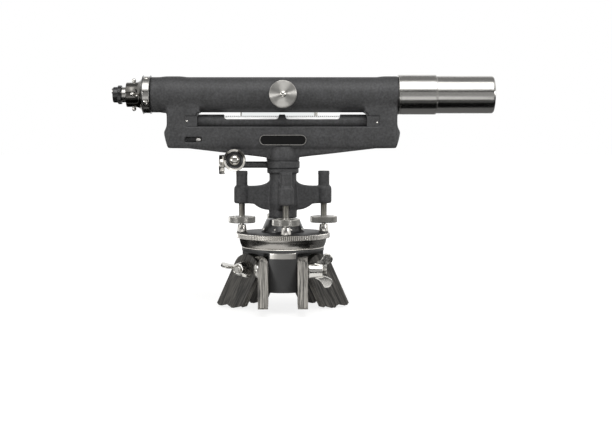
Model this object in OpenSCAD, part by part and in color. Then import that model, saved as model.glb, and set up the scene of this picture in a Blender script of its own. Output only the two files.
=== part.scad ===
// Dumpy level on the head of its tripod, with its reading mirror.
// Millimetres. +X runs along the telescope to the objective, +Z is up, and the vertical axis is
// X = Y = 0. Z = 0 is the seat of the foot plate on the tripod head.

/* [Tripod] */
// Diameter of the disc that the foot plate seats on
head_d = 97; // [94:0.5:100]
// Thickness of the disc
head_t = 3.4; // [3:0.1:4]
// Diameter of the threaded boss that the foot plate screws on
boss_d = 88.9; // [85:0.1:90]
// Height of the threaded boss
boss_h = 9.8; // [7:0.1:10]
// Bore for the plumb line
plumb_d = 30; // [24:1:34]
// Width of each leg lug
lug_w = 33; // [28:0.5:36]
// Height of each leg lug under the disc
lug_h = 44.9; // [38:0.1:48]
// Reach of the lug past its bolt
lug_out = 16.5; // [14:0.5:18]
// Distance of the leg bolts from the vertical axis
bolt_r = 34; // [33:0.5:38]
// Drop of the leg bolts under the seat
bolt_drop = 24; // [22:0.1:26]
// Diameter of the leg bolts
bolt_d = 8; // [6:0.5:9]
// Width of a leg cheek
cheek_w = 33; // [28:0.5:34]
// Thickness of a leg cheek
cheek_t = 11.5; // [9:0.5:13]
// Splay of the legs from the vertical, in degrees
splay = 27; // [20:1:29]
// Drop from the seat to the cut leg ends
leg_drop = 73; // [68:0.5:90]
// Height of the notches in the cut ends
notch_h = 3.4; // [2:0.2:5]
// Extra height of the front leg's cut towards its outer edge
front_rise = 6.6; // [0:0.2:9]
// Extra height of the side legs' cuts towards their outer edges
side_rise = 2.4; // [0:0.2:9]
// Span of the wing nuts
wing_span = 40; // [34:1:42]
// Length of a wing nut's hub
wing_hub_l = 16; // [13:0.5:18]

/* [Foot plate] */
// Diameter over the milled rim
plate_d = 110.7; // [109:0.1:114]
// Height of the milled rim
rim_h = 5.5; // [4.5:0.1:7]
// Notches in the milled rim
rim_teeth = 146; // [100:2:170]
// Depth of the notches
tooth_h = 0.9; // [0.5:0.1:1.3]
// Diameter of the skirt under the rim
skirt_d = 102.6; // [100:0.1:106]
// Height of the skirt
skirt_h = 12; // [11.5:0.1:15]
// Height of the flat top over the rim
crown_h = 0.7; // [0.3:0.1:1.5]
// Diameter of the ball cover's foot
cover_d = 51; // [49:0.5:54]
// Diameter of the ball cover's top
cover_top_d = 38.8; // [36:0.2:42]
// Height of the ball cover
cover_h = 15.3; // [14.6:0.1:15.6]
// Diameter of a screw shoe's foot
shoe_d = 12; // [11:0.5:14]
// Height of a screw shoe
shoe_h = 9.1; // [8:0.1:10]

/* [Ball joint] */
// Height of the ball centre over the plate
ball_rise = 5.8; // [5.5:0.1:7]
// Outer diameter of the half ball
ball_d = 30; // [29:0.2:31]
// Wall of the half ball
ball_wall = 3.4; // [3:0.1:4]
// Height of the half ball over its centre
ball_up = 7.5; // [7:0.1:8]
// Depth of the half ball under its centre
ball_down = 4.5; // [4:0.1:4.9]
// Diameter of the stem from the ball end to the levelling head
ball_stem_d = 15.2; // [14:0.2:15.6]

/* [Levelling head] */
// Height of the levelling head's foot over the ball centre
head_lift = 10.8; // [10.6:0.1:13]
// Diameter of the levelling head's foot
lower_d = 33; // [30:0.5:35]
// Height of the levelling head's foot
lower_h = 9.7; // [8:0.1:12]
// Rise of the arm ends over the arm roots
arm_rise = 7.6; // [6:0.2:9]
// Height of the arm ends
arm_h = 21.3; // [18:0.1:24]
// Width of an arm
arm_w = 13; // [11:0.5:15]
// Distance of the levelling screws from the vertical axis
screw_r = 48.4; // [46:0.2:49]
// Diameter of the bosses at the arm ends
arm_boss_d = 18.6; // [17:0.2:20]
// Diameter of the screw posts
post_d = 13.4; // [12.4:0.1:14.4]
// Height of the screw posts over the arms
post_h = 14.6; // [13:0.1:17]
// Height of the dust caps on the posts
cap_h = 2.5; // [2:0.1:4]
// Diameter of the neck
neck_d = 32; // [30:0.5:35]
// Height of the neck over the arms
neck_h = 13.9; // [13:0.1:17]
// Diameter of the ring over the neck
ring_d = 37.4; // [35:0.2:39]
// Height of the ring
ring_h = 5.7; // [4:0.1:7]
// Diameter of the journal that the clamp collar turns on
journal_d = 29.2; // [27:0.2:30]
// Height of the journal
journal_h = 9.2; // [9:0.1:12]
// Turn of the levelling head about the vertical axis, in degrees
head_turn = 4; // [0:1:8]

/* [Levelling screws] */
// Diameter of a levelling screw
screw_d = 7.8; // [7:0.1:8.6]
// Diameter of a screw's disc head
disc_d = 31.6; // [28:0.2:33]
// Thickness of a disc head
disc_h = 7.5; // [6:0.1:9]
// Height of a disc head over the ball centre
disc_rise = 5.3; // [4.8:0.1:6]
// Diameter of the ball foot
foot_d = 6.4; // [5.6:0.1:7]

/* [Centre] */
// Upper diameter of the centre spindle
spindle_d = 16; // [14:0.5:18]
// Lower diameter of the centre spindle
tip_d = 10; // [8:0.2:10.6]
// Depth of the spindle's shoulder under its top bearing
shoulder_drop = 32; // [26:0.5:38]

/* [Clamp and tangent screw] */
// Diameter of the clamp collar
collar_d = 39.7; // [37:0.1:42]
// Diameter of the clamp arm
arm_rod_d = 7.8; // [7:0.1:8.6]
// Distance of the tangent screw from the vertical axis
tangent_x = 55.5; // [54:0.5:58]
// Height of the tangent screw over the clamp arm
tangent_up = 5.9; // [5:0.1:6.2]
// Width of the clamp arm's tongue along the arm
tongue_w = 11; // [9:0.5:12]
// Thickness of the tongue between the tangent screw and the spring
tongue_t = 10; // [8:0.5:11]
// Diameter of the tangent screw's dished head
knob_a_d = 26; // [24:0.5:28]
// Thickness of the dished heads
knob_t = 6.6; // [5:0.1:8]
// Diameter of the clamp screw's dished head
knob_b_d = 23; // [21:0.5:25]
// Diameter of the tangent screw's thread
tangent_d = 6.4; // [5.6:0.1:7]
// Outer diameter of the spring box
box_d = 12; // [11:0.2:13]
// Length of the spring box
box_l = 27; // [24:0.5:30]

/* [Frame casting] */
// Length of the level bar over its flat ends
frame_l = 268.3; // [262:0.5:275]
// Distance of the frame's middle from the vertical axis
frame_dx = -1; // [-2:0.5:2]
// Bulge of the ends past the flat
bulge = 4.1; // [2:0.1:6]
// Depth of the level bar at its ends
bar_h_end = 25.2; // [22:0.2:28]
// Depth of the level bar at its middle
bar_h_mid = 35.1; // [31:0.1:38]
// Thickness of the level bar
bar_t = 35.6; // [33:0.2:38]
// Thickness of the level bar at its lower edge
bar_foot_t = 27; // [24:0.5:30]
// Height of the hub under the bar
hub_h = 4.6; // [3.6:0.1:6]
// Diameter of the hub
hub_d = 34; // [32:0.5:36]
// Length of the slot between the barrel and the bar
slot_l = 200; // [196:0.5:204]
// Height of the slot
slot_h = 16.65; // [16.2:0.05:19]
// Length of the recess past each end of the slot
recess_l = 13; // [11:0.5:15]
// Outer diameter of the barrel
barrel_d = 41.3; // [40:0.1:44]
// Bore of the barrel
barrel_bore = 36; // [34.5:0.1:37]
// Extra radius of the barrel over the end pillars
swell = 0.95; // [0:0.05:2]
// Length of the barrel past the bar's flat end at the eyepiece
back_over = 19.05; // [15:0.05:23]
// Length of the barrel past the bar's flat end at the objective
front_over = 1.35; // [0.5:0.05:3]
// Length of the name plate
name_l = 54.4; // [44:0.2:60]
// Height of the name plate
name_h = 12; // [10:0.2:14]
// Thickness of the name plate
name_t = 1.2; // [0.8:0.1:1.6]

/* [Vial] */
// Diameter of the vial case
vial_case_d = 17; // [15.6:0.1:17.6]
// Wall of the vial case
vial_wall = 1.2; // [0.9:0.05:1.4]
// Drop of the vial's axis under the top of the slot
vial_drop = 10.85; // [10.4:0.05:11.4]
// Gap between the vial case and each end of the slot
vial_gap = 1; // [0.5:0.1:4]
// Length of each window
window_l = 62.9; // [50:0.5:70]
// Width of the bridge between the windows
bridge_l = 8.8; // [6:0.2:14]
// Diameter of the vial glass
vial_d = 14; // [13:0.1:14.2]

/* [Objective end] */
// Wall of the objective slide
slide_wall = 1.6; // [1.2:0.1:2]
// Diameter of the objective head
ob_head_d = 46.5; // [45.5:0.1:48]
// Length of the objective head
ob_head_l = 44.2; // [40:0.2:48]
// Diameter of the sunshade
shade_d = 43.8; // [43.4:0.1:45]
// Wall of the sunshade
shade_wall = 1.25; // [1:0.05:1.5]
// Length of the sunshade
shade_l = 67.2; // [60:0.2:76]
// Length of the sunshade's grip on the objective head
grip_l = 14; // [12:0.5:18]
// Diameter of the objective lens
lens_d = 38; // [36:0.2:39]

/* [Focusing] */
// Tooth module of the rack and pinion
gear_m = 0.8; // [0.78:0.01:0.82]
// Teeth of the pinion
pinion_teeth = 12; // [12:1:12]
// Height of the pinion over the telescope's axis
pinion_up = -0.5; // [-1:0.1:1.5]
// Longest travel of the objective slide
focus_travel = 25; // [20:0.5:28]
// Diameter of the focusing knob
focus_knob_d = 31.8; // [30:0.5:36]
// Thickness of the focusing knob
focus_knob_t = 7.6; // [5:0.1:9]
// Distance of the knob's back from the telescope's axis
focus_knob_y = 29; // [28:0.5:31]

/* [Eyepiece end] */
// Diameter of the eyepiece flange
flange_d = 45.3; // [44:0.1:48]
// Length of the eyepiece flange
flange_l = 9.9; // [9:0.1:12]
// Diameter of the eyepiece mount
mount_d = 28.8; // [28:0.2:31]
// Length of the eyepiece mount
mount_l = 19.2; // [18:0.2:21]
// Diameter of the eyepiece draw tube
draw_d = 18; // [17:0.1:19]
// Length of the draw tube that shows
draw_l = 5.3; // [4.5:0.1:7]
// Diameter of the milled ring on the eye cap
mill_d = 22; // [21:0.2:24]
// Length of the milled ring
mill_l = 4.7; // [4:0.1:6]
// Diameter of the eye cap
eye_cap_d = 18.5; // [17:0.1:20]
// Length of the eye cap
eye_cap_l = 5.8; // [5:0.1:7]
// Eye hole
eye_hole_d = 6; // [4:0.2:7]

/* [Mirror] */
// Length of the mirror frame
mirror_l = 132; // [120:1:134]
// Height of the mirror frame
mirror_h = 30; // [26:0.5:32]
// Thickness of the mirror frame
mirror_t = 4; // [3.4:0.1:4.6]
// Distance of the mirror's post from the telescope's axis
post_y = 70; // [68:0.5:74]
// Place of the mirror's post along the telescope
post_x = -6.6; // [-9:0.2:-4]
// Drop of the mirror arm under the telescope's axis
arm_drop = 61; // [59:0.5:63]
// Drop of the mirror's upper edge under the telescope's axis
mirror_drop = 9.5; // [8:0.5:12]
// Diameter of the mirror's post
mirror_post_d = 7; // [6:0.2:8]
// Turns of the joint spring
coil_turns = 3; // [2:1:4]

/* [Clearances] */
// Radial clearance of a running fit
fit = 0.05; // [0.03:0.01:0.08]
// Gap between pieces that turn past each other
gap = 0.3; // [0.25:0.01:0.35]
// Gap at a thrust face
side_gap = 0.1; // [0.08:0.01:0.15]

/* [Hidden] */
$fn = 96;
eps = 0.02;

// Heights over the seat, from the foot plate up to the telescope's axis
plate_top = skirt_h + rim_h + crown_h;
ball_z = plate_top + ball_rise;
head_z = ball_z + head_lift;
arm_root_z = head_z + lower_h;
arm_end_z = arm_root_z + arm_rise;
arm_top_z = arm_end_z + arm_h;
post_top_z = arm_top_z + post_h;
ring_z = arm_top_z + neck_h;
journal_z = ring_z + ring_h;
journal_top_z = journal_z + journal_h;
hub_z = journal_top_z + gap;
bar_mid_z = hub_z + hub_h;
bar_top_z = bar_mid_z + bar_h_mid;
axis_z = bar_top_z + slot_h + barrel_d / 2;
clamp_z = journal_z + journal_h / 2;
tangent_z = clamp_z + tangent_up;
vial_z = axis_z - barrel_d / 2 - vial_drop;
floor_z = -leg_drop;

// Levelling
tilt_deg = 2.5;
screw_travel = screw_r * sin(tilt_deg);
// Slow motion
slow_deg = 2;
tangent_travel = tangent_x * sin(slow_deg);

function bez(a, b, c, n = 8) = [for (i = [0:n]) let (t = i / n)
  (1 - t) * (1 - t) * a + 2 * t * (1 - t) * b + t * t * c];
function arc(c, r, from, to, n = 8) = [for (i = [0:n]) let (w = from + (to - from) * i / n)
  c + r * [cos(w), sin(w)]];
function mirrored(points) = [for (i = [len(points) - 1:-1:0]) [-points[i][0], points[i][1]]];

// Rods and turned pieces along the row axes
module rod_x(from, to, d) translate([from, 0, 0]) rotate([0, 90, 0]) cylinder(h = to - from, d = d);
module rod_y(from, to, d) translate([0, from, 0]) rotate([-90, 0, 0]) cylinder(h = to - from, d = d);
// Profile points are [radius, X]
module turned_x(points) rotate([0, 90, 0]) rotate_extrude() polygon(points);
// Profile points are [radius, Y]
module turned_y(points) rotate([-90, 0, 0]) rotate_extrude() polygon(points);
// Side profile [X, Z] with a thickness across Y
module plate_xz(points, t) rotate([90, 0, 0]) linear_extrude(t, center = true) polygon(points);
module on_axis() translate([0, 0, axis_z]) children();
module at_tangent() translate([-tangent_x, 0, tangent_z]) children();

// Coil of round wire about Z: one unbroken tube, its ends flat
function coil_point(r, h, turns, u) = [r * cos(360 * turns * u), r * sin(360 * turns * u), h * u];
function coil_ring(p, q, r, sides) = let (t = (q - p) / norm(q - p), s = cross(t, [0, 0, 1]),
  a = s / norm(s), b = cross(a, t)) [for (k = [0:sides - 1]) let (w = 360 * k / sides)
  p + r * (cos(w) * a + sin(w) * b)];
module coil(d, wire, h, turns) {
  rings = 8 * turns;
  sides = 6;
  r = (d - wire) / 2;
  rise = h - wire;
  mid = [for (i = [0:rings]) coil_point(r, rise, turns, i / rings) + [0, 0, wire / 2]];
  ahead = [for (i = [0:rings]) coil_point(r, rise, turns, (i + 0.01) / rings) + [0, 0, wire / 2]];
  points = [for (i = [0:rings]) each coil_ring(mid[i], ahead[i], wire / 2, sides)];
  tube = [for (i = [0:rings - 1]) for (k = [0:sides - 1]) let (a = i * sides + k,
    b = i * sides + (k + 1) % sides) each [[a, a + sides, b], [b, a + sides, b + sides]]];
  low = [for (k = [1:sides - 2]) [0, k, k + 1]];
  high = [for (k = [1:sides - 2]) [rings * sides, rings * sides + k + 1, rings * sides + k]];
  least = min([for (i = [0:rings - 8]) for (j = [i + 6:min(i + 10, rings)])
    norm(mid[i] - mid[j]) - wire]);
  echo(str("least gap of the coil to itself: ", least, " mm"));
  polyhedron(points, concat(tube, low, high));
}

// Tripod

core_d = plumb_d + 16;
core_h = 24;
lug_lip = 1.2;
module lug_plan() intersection() {
  translate([-lug_w / 2, -bolt_r - lug_out]) square([lug_w, bolt_r + lug_out - 8]);
  translate([0, -bolt_r + lug_w - lug_out]) circle(r = lug_w);
}

module tripod_head() color("dimgray") difference() {
  union() {
    translate([0, 0, -head_t]) cylinder(h = head_t, d = head_d);
    cylinder(h = boss_h, d = boss_d);
    translate([0, 0, -head_t - core_h]) cylinder(h = core_h + 1, d = core_d);
    for (a = [0, 120, 240]) rotate(a) translate([0, 0, -head_t - lug_h])
      linear_extrude(lug_h + lug_lip) lug_plan();
  }
  translate([0, 0, -head_t - core_h - 1]) cylinder(h = core_h + head_t + boss_h + 2, d = plumb_d);
  translate([0, 0, -head_t - lug_h - 1]) cylinder(h = lug_h - core_h + 1, d = core_d - 6);
  for (a = [0, 120, 240]) rotate(a) translate([0, -bolt_r, -bolt_drop])
    rod_x(-lug_w, lug_w, bolt_d + 2 * fit);
}

// Half length of a bolt between its head and its tip
bolt_half = lug_w / 2 + gap + cheek_t;
washer_t = 1.6;
washer_d = bolt_d + 10;
wing_hub_d = 18.6;
wing_t = 3.4;
module leg_bolts() color("silver") for (a = [0, 120, 240])
  rotate(a) translate([0, -bolt_r, -bolt_drop]) {
    rod_x(-bolt_half - gap / 2, bolt_half + washer_t + wing_hub_l + 3, bolt_d);
    rod_x(-bolt_half - gap / 2 - washer_t, -bolt_half - gap / 2, washer_d);
    translate([-bolt_half - gap / 2 - washer_t, 0, 0]) intersection() {
      rod_x(-4, 0, washer_d - 1);
      translate([washer_d * 0.62, 0, 0]) sphere(d = washer_d * 1.5);
    }
  }

// Cheek outline [out, Z] about its bolt: round at the top, notched where the leg is cut off
cheek_drop = leg_drop - bolt_drop;
notches = [0.5, 1, 0.35, 0, 0, 0.6, 0.95, 0.4, 0, 0, 0.7];
function across(v, z) = let (u = (v * sin(splay) - z) / cos(splay))
  [u * sin(splay) + v * cos(splay), z];
last = len(notches) - 1;
flat_to = 4;
function cut(rise) = [for (i = [0:last]) across(cheek_w * (i / last - 0.5),
  notch_h * notches[i] + rise * max(0, i - flat_to) / (last - flat_to) - cheek_drop)];
module cheek(rise) rotate([90, 0, 90]) linear_extrude(cheek_t) difference() {
  polygon(concat(arc([0, 0], cheek_w / 2, splay, splay + 180, 24), cut(rise)));
  circle(d = bolt_d + 2 * fit);
}

module leg(angle, rise) color("tan") rotate(angle) translate([0, -bolt_r, -bolt_drop]) rotate(180)
  for (side = [-1, 1]) translate([side * (lug_w / 2 + gap + cheek_t / 2) - cheek_t / 2, 0, 0])
    cheek(rise);
module leg_front() leg(0, front_rise);
module leg_right() leg(120, side_rise);
module leg_left() leg(240, side_rise);

// A wing is a bent plate, drawn flat as [X, Z] and given its thickness along Y
module wing_nut(angle, turn) color("silver")
  rotate(angle) translate([bolt_half + gap / 2, -bolt_r, -bolt_drop]) rotate([turn, 0, 0]) {
    difference() {
      union() {
        rod_x(0, washer_t, washer_d);
        turned_x([[0, washer_t], [wing_hub_d / 2, washer_t],
          [wing_hub_d * 0.375, washer_t + wing_hub_l], [0, washer_t + wing_hub_l]]);
        for (s = [0, 180]) rotate([s, 0, 0]) translate([washer_t, 0, 0])
          plate_xz(wing_span / 40 * concat([[1, 6]],
            bez([5, 8.4], [13, 10], [16, 17], 6), bez([18, 20], [26, 21], [27.6, 14], 6),
            bez([26.4, 10.4], [20.4, 6.4], [15, 5.6], 6)), wing_t);
      }
      rod_x(-1, washer_t + wing_hub_l + 1, bolt_d + 2 * fit);
    }
  }
module wing_nut_front() wing_nut(0, 8);
module wing_nut_right() wing_nut(120, 25);
module wing_nut_left() wing_nut(240, 72);

// Foot plate and ball joint

crown_r = plate_d / 2 - tooth_h - 0.4;
module foot_plate() color("dimgray") difference() {
  union() {
    rotate_extrude() polygon([[0, 0], [head_d / 2 - 0.5, 0], [skirt_d / 2, skirt_h * 0.75],
      [skirt_d / 2, skirt_h + 1], [0, skirt_h + 1]]);
    translate([0, 0, skirt_h]) linear_extrude(rim_h) polygon([for (i = [0:rim_teeth - 1])
      for (k = [0:3]) let (w = 360 * (i + [0, 0.2, 0.5, 0.7][k]) / rim_teeth,
        r = plate_d / 2 - [tooth_h, 0, 0, tooth_h][k]) r * [cos(w), sin(w)]]);
    translate([0, 0, skirt_h + rim_h]) rotate_extrude() polygon([[0, -1], [crown_r, -1],
      [crown_r, 0], [crown_r - 1.2, crown_h], [0, crown_h]]);
  }
  translate([0, 0, -1]) cylinder(h = boss_h + gap + 1, d = boss_d + 2 * fit);
  translate([0, 0, boss_h]) cylinder(h = plate_top, d = ball_d - 4);
}

module ball_zone(r, from, to) intersection() {
  sphere(r = r);
  translate([0, 0, from]) cylinder(h = to - from, r = r + 1);
}

module ball_cover() color("black") difference() {
  translate([0, 0, plate_top]) rotate_extrude() polygon([[0, 0], [cover_d / 2, 0],
    [cover_d / 2, 2.5], [cover_top_d / 2, cover_h], [0, cover_h]]);
  translate([0, 0, ball_z]) {
    sphere(d = ball_d + 2 * fit);
    translate([0, 0, -ball_rise - 1]) cylinder(h = ball_rise + 1, d = ball_d + 2 * fit);
    cylinder(h = cover_h, d = ball_d - 4);
  }
}

module screw_shoes() color("silver") for (i = [0:3]) rotate(head_turn + 90 * i)
  translate([screw_r, 0, plate_top]) difference() {
    cylinder(h = shoe_h, d1 = shoe_d, d2 = shoe_d - 2.4);
    translate([0, 0, ball_rise]) {
      sphere(d = foot_d + 2 * gap);
      cylinder(h = shoe_h, d = foot_d + 2 * gap);
    }
  }

module half_ball() color("goldenrod") translate([0, 0, ball_z]) difference() {
  ball_zone(ball_d / 2, -ball_down, ball_up);
  sphere(d = ball_d - 2 * ball_wall);
}

// Levelling head: arm outline [X, Z] from the hub to the boss round the screw
arm_side = concat([[0, arm_root_z]],
  bez([lower_d / 2, arm_root_z], [lower_d / 2 + 10, arm_root_z], [screw_r - 14, arm_end_z - 0.5]),
  [[screw_r - 8, arm_end_z], [screw_r, arm_end_z], [screw_r, arm_top_z]],
  bez([screw_r - 7, arm_top_z - 0.6], [neck_d / 2 + 2, arm_top_z - 1.4],
    [neck_d / 2 - 1, arm_top_z + 7]),
  [[0, arm_top_z + 7]]);

bore_depth = 28;
module levelling_head() color("black") rotate(head_turn) difference() {
  union() {
    rotate_extrude() polygon([[0, ball_z + 6], [ball_stem_d / 2, ball_z + 6],
      [ball_stem_d / 2, head_z + 1], [lower_d / 2 - 1, head_z], [lower_d / 2, head_z + 1],
      [lower_d / 2, arm_root_z], [neck_d / 2 + 2, arm_end_z], [neck_d / 2 + 1, arm_top_z],
      [neck_d / 2, arm_top_z + 5], [neck_d / 2, ring_z], [ring_d / 2, ring_z + 0.6],
      [ring_d / 2, journal_z], [journal_d / 2, journal_z], [journal_d / 2, journal_top_z],
      [0, journal_top_z]]);
    for (i = [0:3]) rotate(90 * i) {
      plate_xz(arm_side, arm_w);
      translate([screw_r, 0, arm_end_z]) rotate_extrude() polygon(concat([[0, 0]],
        bez([arm_boss_d / 2 - 2, 0], [arm_boss_d / 2, 0], [arm_boss_d / 2, 3], 5),
        bez([arm_boss_d / 2, arm_h - 5], [arm_boss_d / 2, arm_h - 1], [post_d / 2, arm_h], 6),
        [[post_d / 2, arm_h + post_h], [0, arm_h + post_h]]));
    }
    translate([0, 0, ball_z])
      ball_zone(ball_d / 2 - ball_wall - fit, -ball_down, ball_up);
  }
  for (i = [0:3]) rotate(90 * i) translate([screw_r, 0, arm_end_z - 1])
    cylinder(h = arm_h + post_h + 2, d = screw_d + 2 * fit);
  translate([0, 0, ball_z - ball_down - 1]) cylinder(h = ball_down + 1, d = nut_room_d);
  cylinder(h = journal_top_z + 1, d = tip_d + 2 * fit);
  translate([0, 0, journal_top_z - shoulder_drop])
    cylinder(h = shoulder_drop + 1, d = spindle_d + 2 * fit);
}

module post_caps() color("gray") rotate(head_turn) for (i = [0:3]) rotate(90 * i)
  translate([screw_r, 0, post_top_z])
    cylinder(h = cap_h, d1 = post_d + 1.4, d2 = post_d + 0.6);

// A ball foot has a stem that its screw turns on
stem_d = foot_d * 0.6;
stem_l = disc_rise + 5;
module ball_foot(i) color("silver") rotate(head_turn + 90 * i) translate([screw_r, 0, ball_z]) {
  sphere(d = foot_d);
  cylinder(h = stem_l, d = stem_d);
  translate([0, 0, foot_d / 2 - 0.4]) cylinder(h = disc_rise - foot_d / 2 + 0.3, d = stem_d + 1);
}
module ball_foot_1() ball_foot(0);
module ball_foot_2() ball_foot(1);
module ball_foot_3() ball_foot(2);
module ball_foot_4() ball_foot(3);

screw_top_z = post_top_z - screw_travel - 1.2;
module levelling_screw(i) color("silver") rotate(head_turn + 90 * i)
  translate([screw_r, 0, ball_z + disc_rise]) difference() {
    union() {
      rotate_extrude() polygon([[0, 0], [disc_d / 2 - 0.8, 0], [disc_d / 2, 0.8],
        [disc_d / 2, disc_h - 0.8], [disc_d / 2 - 0.8, disc_h], [0, disc_h]]);
      cylinder(h = screw_top_z - ball_z - disc_rise, d = screw_d);
    }
    translate([0, 0, -1]) cylinder(h = stem_l - disc_rise + gap + 1, d = stem_d + 2 * fit);
  }
module levelling_screw_1() levelling_screw(0);
module levelling_screw_2() levelling_screw(1);
module levelling_screw_3() levelling_screw(2);
module levelling_screw_4() levelling_screw(3);

// Centre spindle and its nut, which sits in the hollow of the ball end
nut_room_d = 17.2;
nut_d = nut_room_d - 4 * gap;
nut_h = ball_down - 2 * gap - 0.3;
nut_z = ball_z - gap - nut_h;
thread_d = 6;
seat_h = 9;
module centre_spindle() color("goldenrod") {
  translate([0, 0, journal_top_z - shoulder_drop + gap])
    cylinder(h = shoulder_drop - gap + hub_z - journal_top_z + seat_h, d = spindle_d);
  translate([0, 0, ball_z - gap]) cylinder(h = journal_top_z - shoulder_drop + 2 * gap - ball_z,
    d = tip_d);
  translate([0, 0, nut_z - 0.2]) cylinder(h = nut_h + 1, d = thread_d);
}
module spindle_nut() color("goldenrod") translate([0, 0, nut_z]) difference() {
  cylinder(h = nut_h, d = nut_d);
  translate([0, 0, -1]) cylinder(h = nut_h + 2, d = thread_d + 2 * eps);
}

// Clamp: collar, hollow arm and tongue in one; the clamp screw runs down the arm
clamp_bore = 4.1;
tongue_top = tangent_up + 3.5;
collar_h = journal_h - 2 * side_gap;
shoe_len = collar_d / 2 - journal_d / 2 - fit;
module clamp_collar() color("black") translate([0, 0, clamp_z]) difference() {
  union() {
    translate([0, 0, -collar_h / 2]) rotate_extrude() polygon([[0, 0], [collar_d / 2 - 1, 0],
      [collar_d / 2, 1], [collar_d / 2, collar_h - 1], [collar_d / 2 - 1, collar_h],
      [0, collar_h]]);
    rod_x(-tangent_x, 0, arm_rod_d);
    translate([-tangent_x - tongue_w / 2, -tongue_t / 2, -arm_rod_d / 2])
      cube([tongue_w, tongue_t, arm_rod_d / 2 + tongue_top]);
    rod_x(-tangent_x - tongue_w / 2 - 3, -tangent_x, arm_rod_d);
  }
  translate([0, 0, -collar_h]) cylinder(h = 2 * collar_h, d = journal_d + 2 * fit);
  rod_x(-tangent_x - tongue_w, 0, clamp_bore);
}
module clamp_shoe() color("goldenrod") translate([0, 0, clamp_z]) difference() {
  rod_x(-journal_d / 2 - fit - shoe_len, 0, clamp_bore - 2 * fit);
  translate([0, 0, -collar_h]) cylinder(h = 2 * collar_h, d = journal_d + 2 * fit);
}

// Dished head of a hand screw, its face at -Z of the drawing: bright rim, groove and centre dome
module dished_head(d, t) rotate_extrude() polygon(concat([[0, 0.4]],
  bez([d * 0.12, 0.6], [d * 0.2, 1], [d * 0.22, 2.4], 4),
  bez([d * 0.3, 2.6], [d * 0.4, 2.4], [d / 2 - 1.4, 0.2], 5),
  [[d / 2 - 0.5, 0], [d / 2, 0.6], [d / 2, t - 0.6], [d / 2 - 0.6, t], [0, t]]));
knob_b_x = -tangent_x - tongue_w / 2 - 3 - gap - 4.2 - knob_t;
module clamp_screw() color("silver") translate([0, 0, clamp_z]) {
  translate([knob_b_x, 0, 0]) rotate([0, 90, 0]) dished_head(knob_b_d, knob_t);
  rod_x(knob_b_x + knob_t - 1, knob_b_x + knob_t + 4.2, arm_rod_d - 1.4);
  rod_x(knob_b_x + knob_t, -collar_d / 2 - side_gap, clamp_bore - 2 * fit);
}

// Tangent screw in its bracket under the bar, with the spring opposite
bracket_y = tongue_t / 2 + 11;
bracket_t = 7;
box_y = tongue_t / 2 + 3.4;
bracket_boss = 11;
module tangent_bracket() color("dimgray") difference() {
  at_tangent() {
    translate([0, -bracket_y - bracket_t, 0]) rod_y(0, bracket_t, bracket_boss);
    translate([-bracket_boss / 2, -bracket_y - bracket_t, 0])
      cube([bracket_boss, bracket_t, bar_top_z - tangent_z]);
    translate([-bracket_boss / 2, -bracket_y - bracket_t, tongue_top - tangent_up + 1.5])
      cube([bracket_boss, bracket_y + bracket_t + box_y + 6, bar_top_z - tangent_z]);
    rod_y(box_y, box_y + 6, box_d + 3);
    translate([-bracket_boss / 2, box_y, 0]) cube([bracket_boss, 6, bar_top_z - tangent_z]);
  }
  frame_blank();
  translate([-tangent_x, 0, bar_mid_z + 9]) translate([-30, -40, 0]) cube([60, 80, 60]);
  at_tangent() {
    rod_y(-60, 0, tangent_d + 2 * fit);
    rod_y(0, 60, box_d + 2 * eps);
  }
}
tip_l = bracket_y - tongue_t / 2 - side_gap;
module thrust_tip() color("silver") at_tangent() translate([0, -tongue_t / 2 - side_gap, 0])
  turned_y(concat([[0, -6]], [[2.2, -6], [2.2, -1]], bez([2.2, -1], [2, -0.1], [0, 0], 6)));
knob_a_y = bracket_y + bracket_t + 10.5;
module tangent_screw() color("silver") at_tangent() difference() {
  union() {
    translate([0, -knob_a_y - knob_t, 0]) rotate([-90, 0, 0]) dished_head(knob_a_d, knob_t);
    rod_y(-knob_a_y - 1, -tongue_t / 2 - tangent_travel - 1.2, tangent_d);
  }
  rod_y(-tongue_t / 2 - side_gap - 6 - gap, 0, 2 * (2.2 + fit));
}
module spring_box() color("silver") at_tangent() difference() {
  rod_y(box_y, box_y + box_l, box_d);
  rod_y(box_y + 1.6, box_y + box_l - 1.5, box_d - 2.4);
  rod_y(0, box_y + 2, 5.2 + 2 * fit);
}
plunger_head = box_y + 1.6 + tangent_travel + gap;
module spring_plunger() color("silver") at_tangent() {
  turned_y(concat(bez([0, tongue_t / 2 + side_gap], [2.5, tongue_t / 2 + side_gap + 0.1],
    [2.6, tongue_t / 2 + 2], 6), [[2.6, plunger_head], [0, plunger_head]]));
  rod_y(plunger_head - eps, plunger_head + 2, box_d - 2.4 - 2 * fit);
}
spring_l = box_l - 1.5 - gap - (plunger_head + 2 + tangent_travel + gap - box_y);
module plunger_spring() color("gray") at_tangent()
  translate([0, box_y + box_l - 1.5 - gap, 0]) rotate([90, 0, 0])
    coil(box_d - 3.4, 1.2, spring_l, 5);

// Frame casting: barrel, two end pillars and the level bar

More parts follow.
